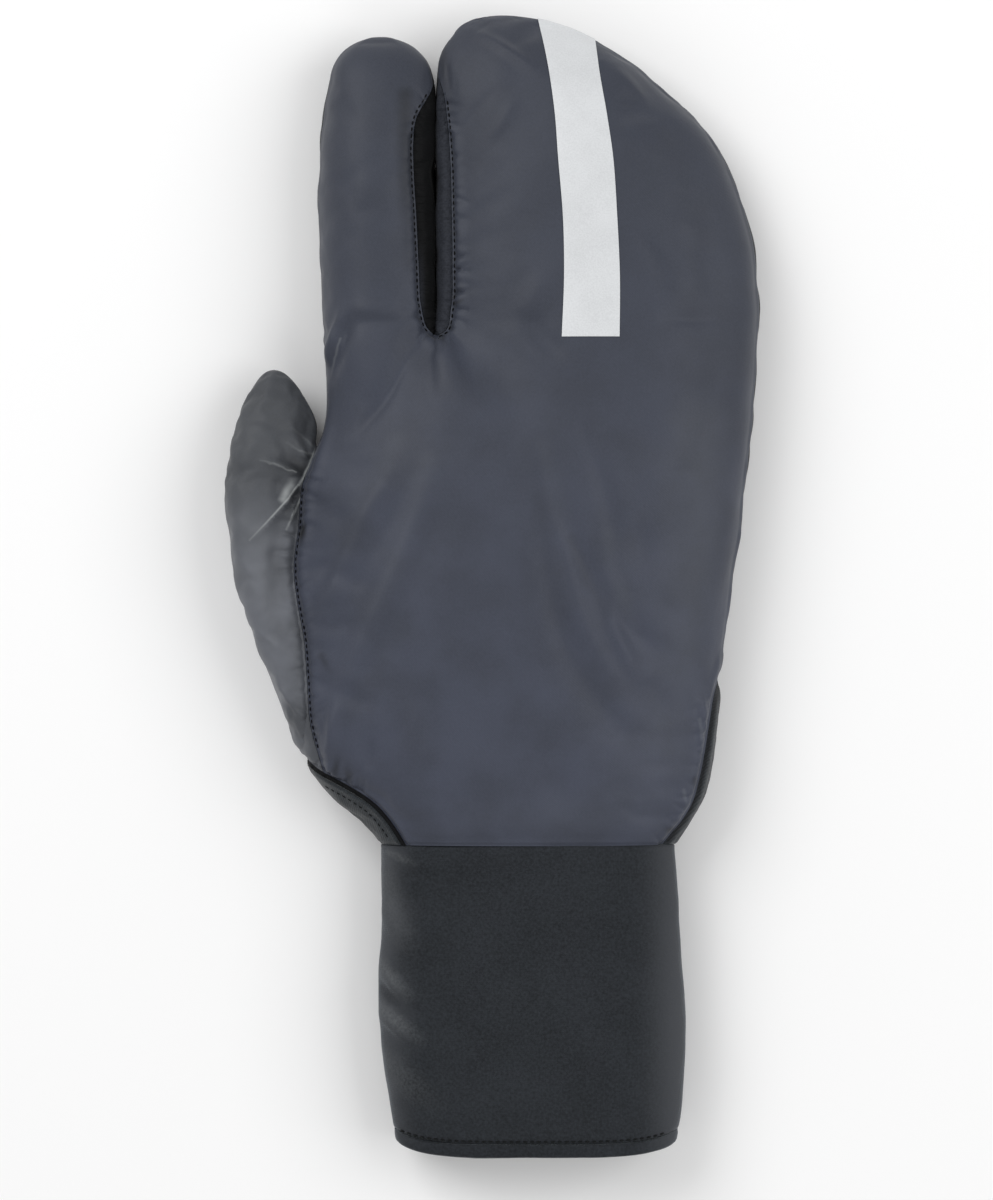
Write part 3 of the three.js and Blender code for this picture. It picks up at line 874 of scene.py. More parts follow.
class Relief:
    """Heights that are pressed into a skin along its normals: folds, seam grooves and puckers."""

    def __init__(self, mesh: bmesh.types.BMesh) -> None:
        """Reads a skin."""
        self.mesh = mesh
        self.points = coordinates(mesh)
        self.facing = normals(mesh)
        self.height = np.zeros(len(self.points))
        self.found: dict = {}
        self.upper = smoothstep(self.facing[:, 2], -0.1, 0.5)

    def beside(self, line: SeamLine) -> tuple[np.ndarray, np.ndarray]:
        """Where the vertices lie beside a seam: signed distances, and distances along it."""
        if line not in self.found:
            self.found[line] = line.locate(self.points[:, :2])
        return self.found[line]

    def folds(self, folds: Iterable[Fold], gain: float = 1.0) -> None:
        """Adds soft folds to the upper side.

        Args:
            folds: The folds.
            gain: Factor on their heights.
        """
        for fold in folds:
            line = SeamLine(fold.route, 2.5)
            aside, along = line.locate(self.points[:, :2], 2.6 * fold.width)
            fade = np.sin(np.pi * np.clip(along / line.length, 0.03, 0.97)) ** 0.8
            reach = np.abs(aside / fold.width) ** (1.0 if fold.crisp else 2.0)
            self.height += gain * fold.height * fade * np.exp(-reach) * self.upper

    def groove(self, distance: np.ndarray, width: float, depth: float, roll: float = 0.0) -> None:
        """Adds a groove along a seam, with the cloth standing proud beside it.

        Args:
            distance: How far each vertex lies from the seam.
            width: Half width of the groove.
            depth: Depth of the groove.
            roll: Height of the soft roll beside it.
        """
        distance = np.abs(distance)
        self.height -= depth * np.exp(-((distance / width) ** 2))
        self.height += roll * np.exp(-(((distance - 2.6 * width) / (1.6 * width)) ** 2))

    def puckers(self, row: Puckers) -> None:
        """Adds a row of puckers."""
        draw = np.random.default_rng(row.seed)
        aside, along = self.beside(row.line)
        aside = aside * row.side
        near = np.nonzero((aside > -0.6) & (aside < 3 * row.reach) & (self.upper > 0.05))[0]
        start, end = row.run
        rise = smoothstep(aside[near], 0.0, row.clear) if row.clear else 1.0
        total = np.zeros(len(near))
        for at in np.arange(start, end, row.pitch):
            place = at + draw.uniform(-0.45, 0.45) * row.pitch
            width = draw.uniform(0.45, 0.95)
            length = row.reach * draw.uniform(0.5, 1.4)
            depth = row.size * draw.uniform(0.3, 1.3)
            lean = draw.uniform(-0.5, 0.5)
            shift = (along[near] - place - lean * aside[near]) / width
            fade = np.exp(-((np.maximum(aside[near], 0) / length) ** 2))
            total -= depth * fade * np.exp(-(shift**2))
        self.height[near] += total * rise * self.upper[near]

    def ripple(
        self, seed: int, size: float, height: float, weight: Union[np.ndarray, float] = 1.0
    ) -> None:
        """Adds irregular soft ripples.

        Args:
            seed: Seed of their directions.
            size: Rough distance from one to the next.
            height: Their height.
            weight: Share of the height at each vertex.
        """
        draw = np.random.default_rng(seed)
        total = np.zeros(len(self.points))
        waves = 14
        for _ in range(waves):
            direction = draw.normal(size=3)
            direction *= 2 * np.pi / (size * draw.uniform(0.7, 1.6) * np.linalg.norm(direction))
            total += np.sin(self.points @ direction + draw.uniform(0, 2 * np.pi))
        self.height += height * weight * total / math.sqrt(waves)

    def press(self, deepest: float = 1.3) -> bmesh.types.BMesh:
        """Moves the skin by its heights.

        Args:
            deepest: Furthest that a point may go inwards.

        Returns:
            The skin.
        """
        height = np.where(self.height < 0, -deepest * np.tanh(-self.height / deepest), self.height)
        moved = self.points + self.facing * height[:, None]
        moved[:, 2] = np.maximum(moved[:, 2], 0.0)
        move(self.mesh, moved)
        return self.mesh


def refine(mesh: bmesh.types.BMesh, reach: float) -> bmesh.types.BMesh:
    """Halves the cells of a skin near its seams.

    Args:
        mesh: The skin.
        reach: How far from a seam the finer cells go.

    Returns:
        The skin.
    """
    mesh.edges.ensure_lookup_table()
    middles = np.array([(edge.verts[0].co + edge.verts[1].co) / 2 for edge in mesh.edges]) / MM
    near = np.nonzero(seam_distance(middles) < reach)[0]
    edges = [mesh.edges[int(i)] for i in near]
    bmesh.ops.subdivide_edges(mesh, edges=edges, cuts=1, use_grid_fill=True)
    return mesh


def smoothed(mesh: bmesh.types.BMesh, name: str) -> bmesh.types.BMesh:
    """A skin with one level of smooth subdivision applied."""
    made = as_object(name, mesh)
    modifier = made.modifiers.new("smooth", "SUBSURF")
    modifier.levels = 1
    modifier.render_levels = 1
    return as_mesh(made)


def closed(mesh: bmesh.types.BMesh) -> bmesh.types.BMesh:
    """A skin with its open ring capped and its faces turned outwards."""
    border = [edge for edge in mesh.edges if edge.is_boundary]
    if border:
        bmesh.ops.holes_fill(mesh, edges=border, sides=0)
    bmesh.ops.recalc_face_normals(mesh, faces=mesh.faces)
    return mesh


def swollen(mesh: bmesh.types.BMesh, distance: float) -> bmesh.types.BMesh:
    """A copy of a skin, moved outwards along its normals by a distance in millimetres."""
    copy = mesh.copy()
    move(copy, coordinates(copy) + normals(copy) * distance)
    return copy


def prism(name: str, outline: np.ndarray, bottom: float = -FAR, top: float = FAR) -> bpy.types.Object:
    """An upright cutter over an outline.

    Args:
        name: The cutter's name.
        outline: Its corners (x, y) in order.
        bottom: Its lowest height.
        top: Its highest height.

    Returns:
        The cutter.
    """
    mesh = bmesh.new()
    corners = bmesh.ops.create_circle(mesh, cap_ends=True, segments=len(outline), radius=1.0)["verts"]
    for corner, (x, y) in zip(corners, outline):
        corner.co = Vector((x, y, bottom)) * MM
    grown = bmesh.ops.extrude_face_region(mesh, geom=mesh.faces[:])["geom"]
    lifted = [item for item in grown if isinstance(item, bmesh.types.BMVert)]
    bmesh.ops.translate(mesh, verts=lifted, vec=Vector((0, 0, top - bottom)) * MM)
    bmesh.ops.recalc_face_normals(mesh, faces=mesh.faces)
    return as_object(name, mesh)


def block(name: str, low: Sequence[float], high: Sequence[float]) -> bpy.types.Object:
    """A rectangular cutter between two corners."""
    outline = np.array([(low[0], low[1]), (high[0], low[1]), (high[0], high[1]), (low[0], high[1])])
    return prism(name, outline, low[2], high[2])


def side_of(name: str, line: SeamLine, distance: float, far_x: float) -> bpy.types.Object:
    """A cutter over everything between a shifted line and a far upright plane."""
    edge = line.shifted(distance)
    far = np.array([(far_x, line.points[-1][1]), (far_x, line.points[0][1])])
    return prism(name, np.concatenate([edge, far]))


def strip(name: str, line: SeamLine, inner: float, outer: float) -> bpy.types.Object:
    """A cutter along a line, from one sideways distance to another."""
    return prism(name, np.concatenate([line.shifted(inner), line.shifted(outer)[::-1]]))


def largest(mesh: bmesh.types.BMesh) -> bmesh.types.BMesh:
    """Drops the chips that cuts leave beside a mesh's largest part."""
    seen: set = set()
    parts = []
    for vert in mesh.verts:
        if vert in seen:
            continue
        seen.add(vert)
        part = [vert]
        for member in part:
            fresh = {edge.other_vert(member) for edge in member.link_edges} - seen
            seen |= fresh
            part.extend(fresh)
        parts.append(part)
    for part in sorted(parts, key=len)[:-1]:
        bmesh.ops.delete(mesh, geom=part, context="VERTS")
    return mesh


def carve(name: str, blank: bpy.types.Object, cuts: Sequence[tuple]) -> bpy.types.Object:
    """Cuts a piece out of a blank.

    Args:
        name: The piece's name.
        blank: The closed solid that it is cut from, which is kept.
        cuts: What to do with each cutter, in order, as (Cut, cutter).

    Returns:
        The piece, with crisp edges where it was cut.
    """
    made = bpy.data.objects.new(name, blank.data.copy())
    bpy.context.scene.collection.objects.link(made)
    for cut, cutter in cuts:
        modifier = made.modifiers.new("cut", "BOOLEAN")
        modifier.operation = cut.value
        modifier.object = cutter
        modifier.solver = "MANIFOLD"
    return finished(name, largest(as_mesh(made)))


def finished(name: str, mesh: bmesh.types.BMesh, crisp: float = 50.0) -> bpy.types.Object:
    """Makes a piece's object, with edges that are sharper than an angle in degrees left crisp."""
    bmesh.ops.dissolve_degenerate(mesh, dist=1e-6, edges=mesh.edges)
    mesh.normal_update()
    for edge in mesh.edges:
        edge.smooth = edge.calc_face_angle(0.0) < math.radians(crisp)
    for face in mesh.faces:
        face.smooth = True
        face.material_index = 0
    data = bpy.data.meshes.new(name)
    mesh.to_mesh(data)
    mesh.free()
    made = bpy.data.objects.new(name, data)
    bpy.context.scene.collection.objects.link(made)
    return made


# Shader nodes

Link = Union["Value", float, tuple]
Tint = Union[bpy.types.NodeSocket, tuple]


# Sockets of a Mix node for colours
MIX_SHARE = 0
MIX_FIRST = 6
MIX_SECOND = 7
MIX_RESULT = 2


def opaque(colour: Tint) -> Tint:
    """A colour with full cover, where it is given by three numbers."""
    return (*colour, 1) if isinstance(colour, tuple) and len(colour) == 3 else colour


def shaded(colour: Colour, factor: float) -> Colour:
    """A colour made darker or lighter by a factor."""
    return tuple(factor * channel for channel in colour)


class Value:
    """A socket of a material's node tree, so that shader maths reads as an expression."""

    def __init__(self, shader: "Shader", socket: bpy.types.NodeSocket) -> None:
        """Wraps a socket."""
        self.shader = shader
        self.socket = socket

    def math(self, operation: str, *others: Link) -> "Value":
        """Adds a Math node that starts from this value."""
        return self.shader.math(operation, self, *others)

    def __add__(self, other: Link) -> "Value":
        """Sum."""
        return self.math("ADD", other)

    def __radd__(self, other: Link) -> "Value":
        """Sum, the other way round."""
        return self.math("ADD", other)

    def __sub__(self, other: Link) -> "Value":
        """Difference."""
        return self.math("SUBTRACT", other)

    def __rsub__(self, other: Link) -> "Value":
        """Difference, the other way round."""
        return self.shader.math("SUBTRACT", other, self)

    def __mul__(self, other: Link) -> "Value":
        """Product."""
        return self.math("MULTIPLY", other)

    def __rmul__(self, other: Link) -> "Value":
        """Product, the other way round."""
        return self.math("MULTIPLY", other)

    def __truediv__(self, other: Link) -> "Value":
        """Quotient."""
        return self.math("DIVIDE", other)

    def __pow__(self, other: Link) -> "Value":
        """Power."""
        return self.math("POWER", other)

    def sine(self) -> "Value":
        """Sine of the value in radians."""
        return self.math("SINE")

    def eased(self, low: float, high: float) -> "Value":
        """Share of the way from low to high, eased and kept within 0 and 1."""
        return self.shader.value(
            "ShaderNodeMapRange", {"interpolation_type": "SMOOTHSTEP"},
            {"Value": self, "From Min": low, "From Max": high},
        )


def wave(place: Value, period: float) -> Value:
    """A sine wave over a place in millimetres."""
    return (place * (2 * math.pi / period)).sine()


class Shader:
    """A material that is built up from nodes around one Principled shader."""

    def __init__(self, name: str) -> None:
        """Makes the material with its main shader."""
        self.material = bpy.data.materials.new(name)
        self.material.use_nodes = True
        self.nodes = self.material.node_tree.nodes
        self.links = self.material.node_tree.links
        self.surface = next(node for node in self.nodes if node.type == "BSDF_PRINCIPLED")
        self.place = self.node("ShaderNodeTexCoord").outputs["Object"]

    def node(
        self, kind: str, settings: Optional[dict] = None, inputs: Optional[dict] = None
    ) -> bpy.types.Node:
        """Adds a node.

        Args:
            kind: Type of node.
            settings: Its properties, set first.
            inputs: Values or links of its sockets, by name or number.

        Returns:
            The node.
        """
        made = self.nodes.new(kind)
        for key, value in (settings or {}).items():
            setattr(made, key, value)
        for key, value in (inputs or {}).items():
            self.feed(made.inputs[key], value)
        return made

    def feed(self, socket: bpy.types.NodeSocket, value: Union[Link, Tint]) -> None:
        """Links a value to a socket, or sets it there."""
        if isinstance(value, Value):
            self.links.new(value.socket, socket)
        elif isinstance(value, bpy.types.NodeSocket):
            self.links.new(value, socket)
        else:
            socket.default_value = value

    def value(
        self, kind: str, settings: Optional[dict] = None, inputs: Optional[dict] = None,
        output: Union[int, str] = 0,
    ) -> Value:
        """Adds a node and returns one of its outputs as a value."""
        return Value(self, self.node(kind, settings, inputs).outputs[output])

    def math(self, operation: str, *values: Link) -> Value:
        """Adds a Math node on some values."""
        return self.value("ShaderNodeMath", {"operation": operation}, dict(enumerate(values)))

    def axes(self) -> tuple:
        """The place on the glove along X, Y and Z, in millimetres."""
        parts = self.node("ShaderNodeSeparateXYZ", inputs={"Vector": self.place})
        return tuple(Value(self, socket) * (1 / MM) for socket in parts.outputs)

    def noise(
        self, size: float, detail: float = 2.0, stretch: Colour = (1, 1, 1), roughness: float = 0.5
    ) -> Value:
        """Soft noise between about 0 and 1.

        Args:
            size: Rough size of a blotch in millimetres.
            detail: How many finer layers it has.
            stretch: How much each axis is packed closer.
            roughness: Strength of the finer layers.

        Returns:
            The noise.
        """
        place = self.node(
            "ShaderNodeVectorMath", {"operation": "MULTIPLY"}, {0: self.place, 1: stretch},
        ).outputs["Vector"]
        inputs = {"Vector": place, "Scale": 1 / (size * MM), "Detail": detail, "Roughness": roughness}
        return self.value("ShaderNodeTexNoise", None, inputs, "Fac")

    def mix(self, share: Link, first: Tint, second: Tint) -> bpy.types.NodeSocket:
        """A colour part of the way from a first colour to a second.

        Args:
            share: The second colour's share.
            first: The first colour.
            second: The second colour.

        Returns:
            The socket of the mixed colour.
        """
        inputs = {MIX_SHARE: share, MIX_FIRST: opaque(first), MIX_SECOND: opaque(second)}
        return self.node("ShaderNodeMix", {"data_type": "RGBA"}, inputs).outputs[MIX_RESULT]

    def paint_crease_shading(self, colour: Tint, creases: Sequence["Crease"], share: Link = 1.0) -> Tint:
        """Paints highlights and shade along some creases on a colour.

        Args:
            colour: The cloth's colour.
            creases: The creases.
            share: Where they show, from 0 to 1.

        Returns:
            The colour with its creases' painted highlights and shade.
        """
        x, y, _ = self.axes()
        wobble = (self.noise(2.2, 1) - 0.5) * 0.9
        for crease in creases:
            tone = PAINTED_HIGHLIGHT if crease.strength > 0 else PAINTED_SHADE
            colour = self.mix(crease.mask(x + wobble, y + wobble) * share, colour, tone)
        return colour

    def bump(self, height: Value) -> None:
        """Lets a height in millimetres bend the surface's shading."""
        made = self.node("ShaderNodeBump", None, {"Height": height, "Distance": MM, "Strength": 1.0})
        self.feed(self.surface.inputs["Normal"], made.outputs["Normal"])

    def dress(self, **inputs: Union[Link, Tint]) -> bpy.types.Material:
        """Sets sockets of the main shader.

        Args:
            inputs: Values or links by the sockets' names, with _ for a blank.

        Returns:
            The material.
        """
        for name, value in inputs.items():
            self.feed(self.surface.inputs[name.replace("_", " ")], opaque(value))
        return self.material


# Colours of the painted highlights and the painted shade along creases.
PAINTED_HIGHLIGHT = (0.42, 0.44, 0.44)
PAINTED_SHADE = (0.006, 0.007, 0.009)


@dataclass(frozen=True)
class Crease:
    """Painted highlight along a crease in the cloth; painted shade where its strength is below 0.

    Args:
        route: Places (x, y) along the line.
        width: Its half width.
        strength: Strength of its tone, below 0 for a dark one.
        fades: Whether it grows weaker towards its end.
    """

    route: tuple
    width: float
    # strength: Strength of the painted highlight, below 0 for painted shade.
    strength: float
    fades: bool = True

    def mask(self, x: Value, y: Value) -> Value:
        """Share of the crease's painted highlight and shade at a place (x, y)."""
        nearest = None
        for (x0, y0), (x1, y1) in zip(self.route, self.route[1:]):
            run = (x1 - x0) ** 2 + (y1 - y0) ** 2
            share = ((x - x0) * (x1 - x0) + (y - y0) * (y1 - y0)) * (1 / run)
            share = share.math("MAXIMUM", 0.0).math("MINIMUM", 1.0)
            square = (x - x0 - share * (x1 - x0)) ** 2.0 + (y - y0 - share * (y1 - y0)) ** 2.0
            nearest = square if nearest is None else nearest.math("MINIMUM", square)
        line = (1.0 - nearest.math("SQRT").eased(0.0, 2 * self.width)) * abs(self.strength)
        if not self.fades:
            return line
        (x0, y0), (x1, y1) = self.route[0], self.route[-1]
        whole = math.hypot(x1 - x0, y1 - y0)
        gone = ((x - x0) ** 2.0 + (y - y0) ** 2.0).math("SQRT")
        return line * (1.0 - gone.eased(0.35 * whole, 1.1 * whole) * 0.75)


@dataclass(frozen=True)
class NylonFinish:
    """Thin windproof nylon with a satin face and soft crinkles.

    Args:
        name: The material's name.
        low: Colour towards the wrist.
        high: Colour towards the fingertips, darker there as painted shade.
        span: Heights along the glove between which the colour changes.
        blotch: Strength of the uneven tone.
        crinkle: Height of the small crinkles.
        creases: Creases that catch the light or lie in shade.
    """

    name: str
    low: Colour
    high: Colour
    span: tuple = (-60.0, 130.0)
    blotch: float = 0.5
    crinkle: float = 0.1
    creases: tuple = ()

    def material(self) -> bpy.types.Material:
        """Makes the material."""
        shader = Shader(self.name)
        x, y, z = shader.axes()
        # Painted shade: the nylon darkens from its wrist colour to its fingertip colour along the glove.
        tone = shader.mix(y.eased(*self.span), self.low, self.high)
        cloudy = shader.noise(16, 3).eased(0.3, 0.7) * self.blotch
        darker = shader.mix(cloudy, tone, shaded(self.high, 0.72))
        across = wave(x, 0.62)
        along = wave(y + z * 0.6, 0.62)
        weave = across * along
        fleck = (shader.noise(0.45, 1) - 0.5) * 0.9 + weave * 0.08
        lighter = shader.mix(0.08, darker, (0.16, 0.18, 0.25))
        colour = shader.mix((fleck + 0.5).eased(0.0, 1.0), darker, lighter)
        above = z.eased(SEAM_HEIGHT - 2, SEAM_HEIGHT + 2)
        colour = shader.paint_crease_shading(colour, self.creases, above)
        crinkle = shader.noise(5.5, 3, (1, 0.6, 1), 0.55) * self.crinkle + shader.noise(1.7, 2) * 0.03
        shader.bump(crinkle + weave * 0.006)
        rough = 0.5 + shader.noise(9, 2) * 0.12
        return shader.dress(
            Base_Color=colour, Roughness=rough, Sheen_Weight=0.08, Sheen_Roughness=0.5,
            Specular_IOR_Level=0.33,
        )


@dataclass(frozen=True)
class KnitFinish:
    """Smooth stretch knit with a slightly velvety face, and painted sheen along both sides.

    Args:
        name: The material's name.
        colour: Colour of the yarn.
        side_sheen_colour: Colour of the painted sheen along both sides of the cuff.
        wale: Distance between the knit's fine ribs.
        creases: Painted highlights where soft folds catch the light, and painted shade in a fold.
    """

    name: str
    colour: Colour
    side_sheen_colour: Colour
    wale: float = 0.55
    creases: tuple = ()

    def material(self) -> bpy.types.Material:
        """Makes the material."""
        shader = Shader(self.name)
        x, y, z = shader.axes()
        waves = (shader.noise(9, 2, (0.5, 1, 1)) - 0.5) * 7
        # Painted sheen: the knit turns lighter along both sides of the cuff, where it curves away.
        sides = (x.eased(34, 50.5) ** 1.6 + (1 - (x + waves).eased(-30.5, -16)) ** 1.6) * 0.95
        ribs = wave(x + z * 0.8, self.wale)
        courses = wave(y + ribs * 0.06, 0.5)
        pile = shader.noise(0.7, 3, roughness=0.65)
        soft = shader.noise(14, 2)
        light = shaded(self.colour, 1.75)
        deep = shaded(self.colour, 0.6)
        yarn = shader.mix((pile * 0.8 + soft * 0.25).eased(0.2, 0.8), deep, light)
        colour = shader.paint_crease_shading(shader.mix(sides, yarn, self.side_sheen_colour), self.creases, pile.eased(0.1, 0.7))
        shader.bump(ribs * 0.012 + courses * 0.01 + pile * 0.09 + soft * 0.2)
        return shader.dress(
            Base_Color=colour, Roughness=0.84, Sheen_Weight=0.3, Sheen_Roughness=0.3,
            Sheen_Tint=(0.8, 0.88, 0.95), Specular_IOR_Level=0.2,
        )


@dataclass(frozen=True)
class TapeFinish:
    """Matt elastic tape with fine cross ribs.

    Args:
        name: The material's name.
        colour: Colour of the tape.
        creases: Lines along which it lies in shade.
    """

    name: str
    colour: Colour
    creases: tuple = ()

    def material(self) -> bpy.types.Material:
        """Makes the material."""
        shader = Shader(self.name)
        x, y, z = shader.axes()
        ribs = wave(x - y + z * 0.5, 0.8)
        fibres = shader.noise(0.5, 2)
        deep = shaded(self.colour, 0.65)
        light = shaded(self.colour, 1.5)
        colour = shader.mix((fibres + ribs * 0.08).eased(0.25, 0.75), deep, light)
        colour = shader.paint_crease_shading(colour, self.creases)
        shader.bump(ribs * 0.03 + fibres * 0.06)
        return shader.dress(Base_Color=colour, Roughness=0.8, Sheen_Weight=0.2, Specular_IOR_Level=0.22)


@dataclass(frozen=True)
class StretchClothFinish:
    """Fine stretch cloth of the slot's strip, coloured as painted shade on the index finger's side and as
    painted light on the mitt's side.

    Args:
        name: The material's name.
        in_shade: Painted shade colour on the index finger's side.
        lit: Painted light colour on the mitt's side.
    """

    name: str
    in_shade: Colour
    lit: Colour

    def material(self) -> bpy.types.Material:
        """Makes the material."""
        shader = Shader(self.name)
        x, y, z = shader.axes()
        # Painted light: the lit colour's share, full on the mitt's side and partial at the shaded side's
        # left edge low in the slot.
        edge = (1 - x.eased(SLOT_X - 4.4, SLOT_X - 2.4)) * (1 - y.eased(74, 92)) * 0.7
        side = x.eased(SLOT_X - 0.6, SLOT_X + 0.6).math("MAXIMUM", edge)
        fibres = shader.noise(0.6, 2)
        tone = shader.mix(side, self.in_shade, self.lit)
        colour = shader.mix(fibres.eased(0.3, 0.8) * 0.4, tone, shaded(self.in_shade, 2))
        creases = shader.noise(3.2, 3, (1, 2.4, 1))
        threads = wave(y, 0.6)
        shader.bump(creases * 0.35 + threads * 0.01)
        return shader.dress(Base_Color=colour, Roughness=0.7, Sheen_Weight=0.03, Specular_IOR_Level=0.14)


@dataclass(frozen=True)
class PalmClothFinish:
    """Matt palm cloth with a fine pebbled grip."""

    name: str
    colour: Colour

    def material(self) -> bpy.types.Material:
        """Makes the material."""
        shader = Shader(self.name)
        pebbles = shader.value(
            "ShaderNodeTexVoronoi", {"feature": "F1"},
            {"Vector": shader.place, "Scale": 1 / (1.1 * MM), "Randomness": 0.8}, "Distance",
        )
        worn = shader.noise(12, 3)
        grain = shader.noise(0.8, 2)
        light = shaded(self.colour, 1.6)
        colour = shader.mix((grain * 0.6 + worn * 0.5).eased(0.3, 0.8), self.colour, light)
        shader.bump(pebbles * -0.12 + worn * 0.25)
        rough = 0.68 + worn * 0.14
        return shader.dress(Base_Color=colour, Roughness=rough, Sheen_Weight=0.15, Specular_IOR_Level=0.35)


@dataclass(frozen=True)
class ReflectiveFinish:
    """Light grey glass-bead reflective transfer."""

    name: str
    colour: Colour

    def material(self) -> bpy.types.Material:
        """Makes the material."""
        shader = Shader(self.name)
        beads = shader.noise(0.4, 1)
        cloud = shader.noise(10, 2)
        deep = shaded(self.colour, 0.86)
        colour = shader.mix((beads * 0.7 + cloud * 0.5).eased(0.25, 0.85), deep, self.colour)
        shader.bump(beads * 0.02 + cloud * 0.08)
        rough = 0.42 + cloud * 0.14
        return shader.dress(Base_Color=colour, Roughness=rough, Metallic=0.12, Specular_IOR_Level=0.5)


@dataclass(frozen=True)
class ThreadFinish:
    """Matt sewing thread or cord with a fine twist.

    Args:
        name: The material's name.
        colour: Colour of the thread.
        twist: Length of one turn of the twist.
    """

    name: str
    colour: Colour
    twist: float = 0.5

    def material(self) -> bpy.types.Material:
        """Makes the material."""
        shader = Shader(self.name)
        x, y, z = shader.axes()
        plies = wave(x + y * 1.3 + z, self.twist)
        lighter = shaded(self.colour, 2.2)
        colour = shader.mix((plies * 0.25 + shader.noise(0.6, 2)).eased(0.2, 1.0), self.colour, lighter)
        shader.bump(plies * 0.03)
        return shader.dress(Base_Color=colour, Roughness=0.75, Sheen_Weight=0.04, Specular_IOR_Level=0.12)


@dataclass(frozen=True)
class FloorFinish:
    """Plain pale studio floor."""

    name: str
    colour: Colour

    def material(self) -> bpy.types.Material:
        """Makes the material."""
        shader = Shader(self.name)
        return shader.dress(Base_Color=self.colour, Roughness=0.9, Specular_IOR_Level=0.1)


Finish = Union[
    NylonFinish, KnitFinish, TapeFinish, StretchClothFinish, PalmClothFinish, ReflectiveFinish, ThreadFinish
]

# Painted highlight along the hand panel's rim at the thumb's crotch, on the back and the thumb.
RIM_HIGHLIGHT = ((-45.5, 37.5), (-46.6, 34.9), (-48.2, 31.2), (-49.5, 28.2), (-50.9, 26))
# Back nylon, darker towards the fingertips as painted shade. Its creases are painted highlights where
# strength is above 0, along folds, the thumb's rim, the index finger's base, the right side and the heel,
# and painted shade where it is below 0, in folds and puckers and along the slot and the fingers' slot edges.
BACK_NYLON = NylonFinish(
    "slate_nylon_satin", (0.0425, 0.049, 0.073), (0.0305, 0.0355, 0.0505),
    creases=(
        Crease(((54, 40), (54, 10), (51, -18), (46, -46)), 6.5, 0.03),
        Crease(((40, -58), (12, -61), (-14, -60)), 5.0, 0.012),
        Crease(RIM_HIGHLIGHT[::-1], 0.3, 0.34), Crease(((-39.9, 64), (-42.9, 53)), 0.25, 0.12),
        Crease(((-49.6, 14.8), (-50.2, 11)), 0.8, -0.95), Crease(((-44.6, -19), (-42.4, -22.5)), 0.9, -0.35),
        Crease(((-41.2, -49.6), (-40.4, -45.4)), 0.8, -0.55),
        Crease(((-37.4, -51.4), (-37.9, -47.2)), 0.8, -0.45),
        Crease(((-10, 73.2), (-7.6, 74.1)), 0.5, -0.6), Crease(((-10.3, 75), (-8.2, 77.6)), 0.5, -0.45),
        Crease(((-13.6, 66.2), (-12.4, 62.6)), 0.5, -0.5), Crease(((-11.4, 68.2), (-10.2, 66.2)), 0.5, -0.4),
        Crease(((-18.9, 69), (-20.6, 69.9)), 0.5, -0.4), Crease(((-16.2, 65.8), (-17.6, 63.8)), 0.5, -0.3),
        Crease(((-22.8, 128), (-23, 116), (-22.4, 100), (-21.4, 84)), 1.7, -0.5),
        Crease(((-13.4, 142), (-12.6, 133), (-11.6, 124)), 1.2, -0.4),
        Crease(((54.2, -35.5), (55.2, -41.2), (54.9, -44.2)), 0.45, 0.07),
        Crease(((50, -54), (51.5, -59)), 0.45, 0.06),
        Crease(((53, -51), (53.4, -53)), 0.6, -0.4), Crease(((47, -64.5), (45, -65)), 0.8, -0.5),
        Crease(((-10, 92), (-8.4, 91)), 0.5, -0.35), Crease(((-10.2, 99.5), (-8.6, 99.8)), 0.5, -0.3),
        Crease(((29.8, 13), (31, 4), (34.6, -5), (38, -16)), 1.5, 0.02),
        Crease(((20.6, 11.5), (24.6, 1), (30, -8)), 1.3, -0.2),
        Crease(((-25.4, 37), (-36, 16), (-44.6, -2)), 2.2, 0.018),
        Crease(((-17, 32), (-26.4, 4), (-37, -21)), 2.4, 0.018),
        Crease(((13, 36), (20, 12), (24, 1)), 1.8, 0.014),
        Crease(((12, 22), (16, -6), (24, -28)), 2.0, -0.12),
        Crease(((-31, 24), (-40, 4)), 2.0, -0.12),
    ),
)
# Thumb nylon, darker towards its tip as painted shade. Its creases are painted highlights and painted shade
# round the folds at the thumb's crotch.
THUMB_NYLON = NylonFinish(
    "thumb_nylon_satin", (0.120, 0.127, 0.144), (0.056, 0.060, 0.066), (0.0, 33.0), 0.8, 0.22,
    creases=(
        Crease(((-49.2, 29.8), (-51.6, 30.6), (-54.6, 32)), 1.7, -0.75),
        Crease(((-51.4, 24.2), (-52.6, 21), (-53.8, 18)), 1.1, -0.5),
        Crease(((-47.6, 33.6), (-49.8, 33.2)), 0.8, -0.5),
        Crease(((-62, 14), (-62, 4), (-59, -8)), 4.5, 0.035),
        Crease(((-54.7, 22.4), (-53.8, 24.6), (-52.3, 26.8)), 0.9, 0.5),
        Crease(RIM_HIGHLIGHT[::-1], 0.32, 0.55),
        Crease(((-51.1, 25.9), (-53.5, 22.4), (-55.3, 20.3), (-59.3, 15.8), (-63.5, 11.4)), 0.22, 0.5),
        Crease(((-49.3, 24.8), (-51.1, 20.9), (-52.7, 17.2), (-54, 14.3)), 0.24, 0.6),
        Crease(((-51.6, 29.3), (-53.4, 29.9), (-55.3, 30.9), (-60.9, 32.2)), 0.22, 0.22),
        Crease(((-46.9, 34.2), (-50.6, 34.9), (-54, 37)), 0.3, 0.12),
        Crease(((-46.3, 35.6), (-49.6, 38.6), (-52.6, 41)), 0.3, 0.1),
    ),
)
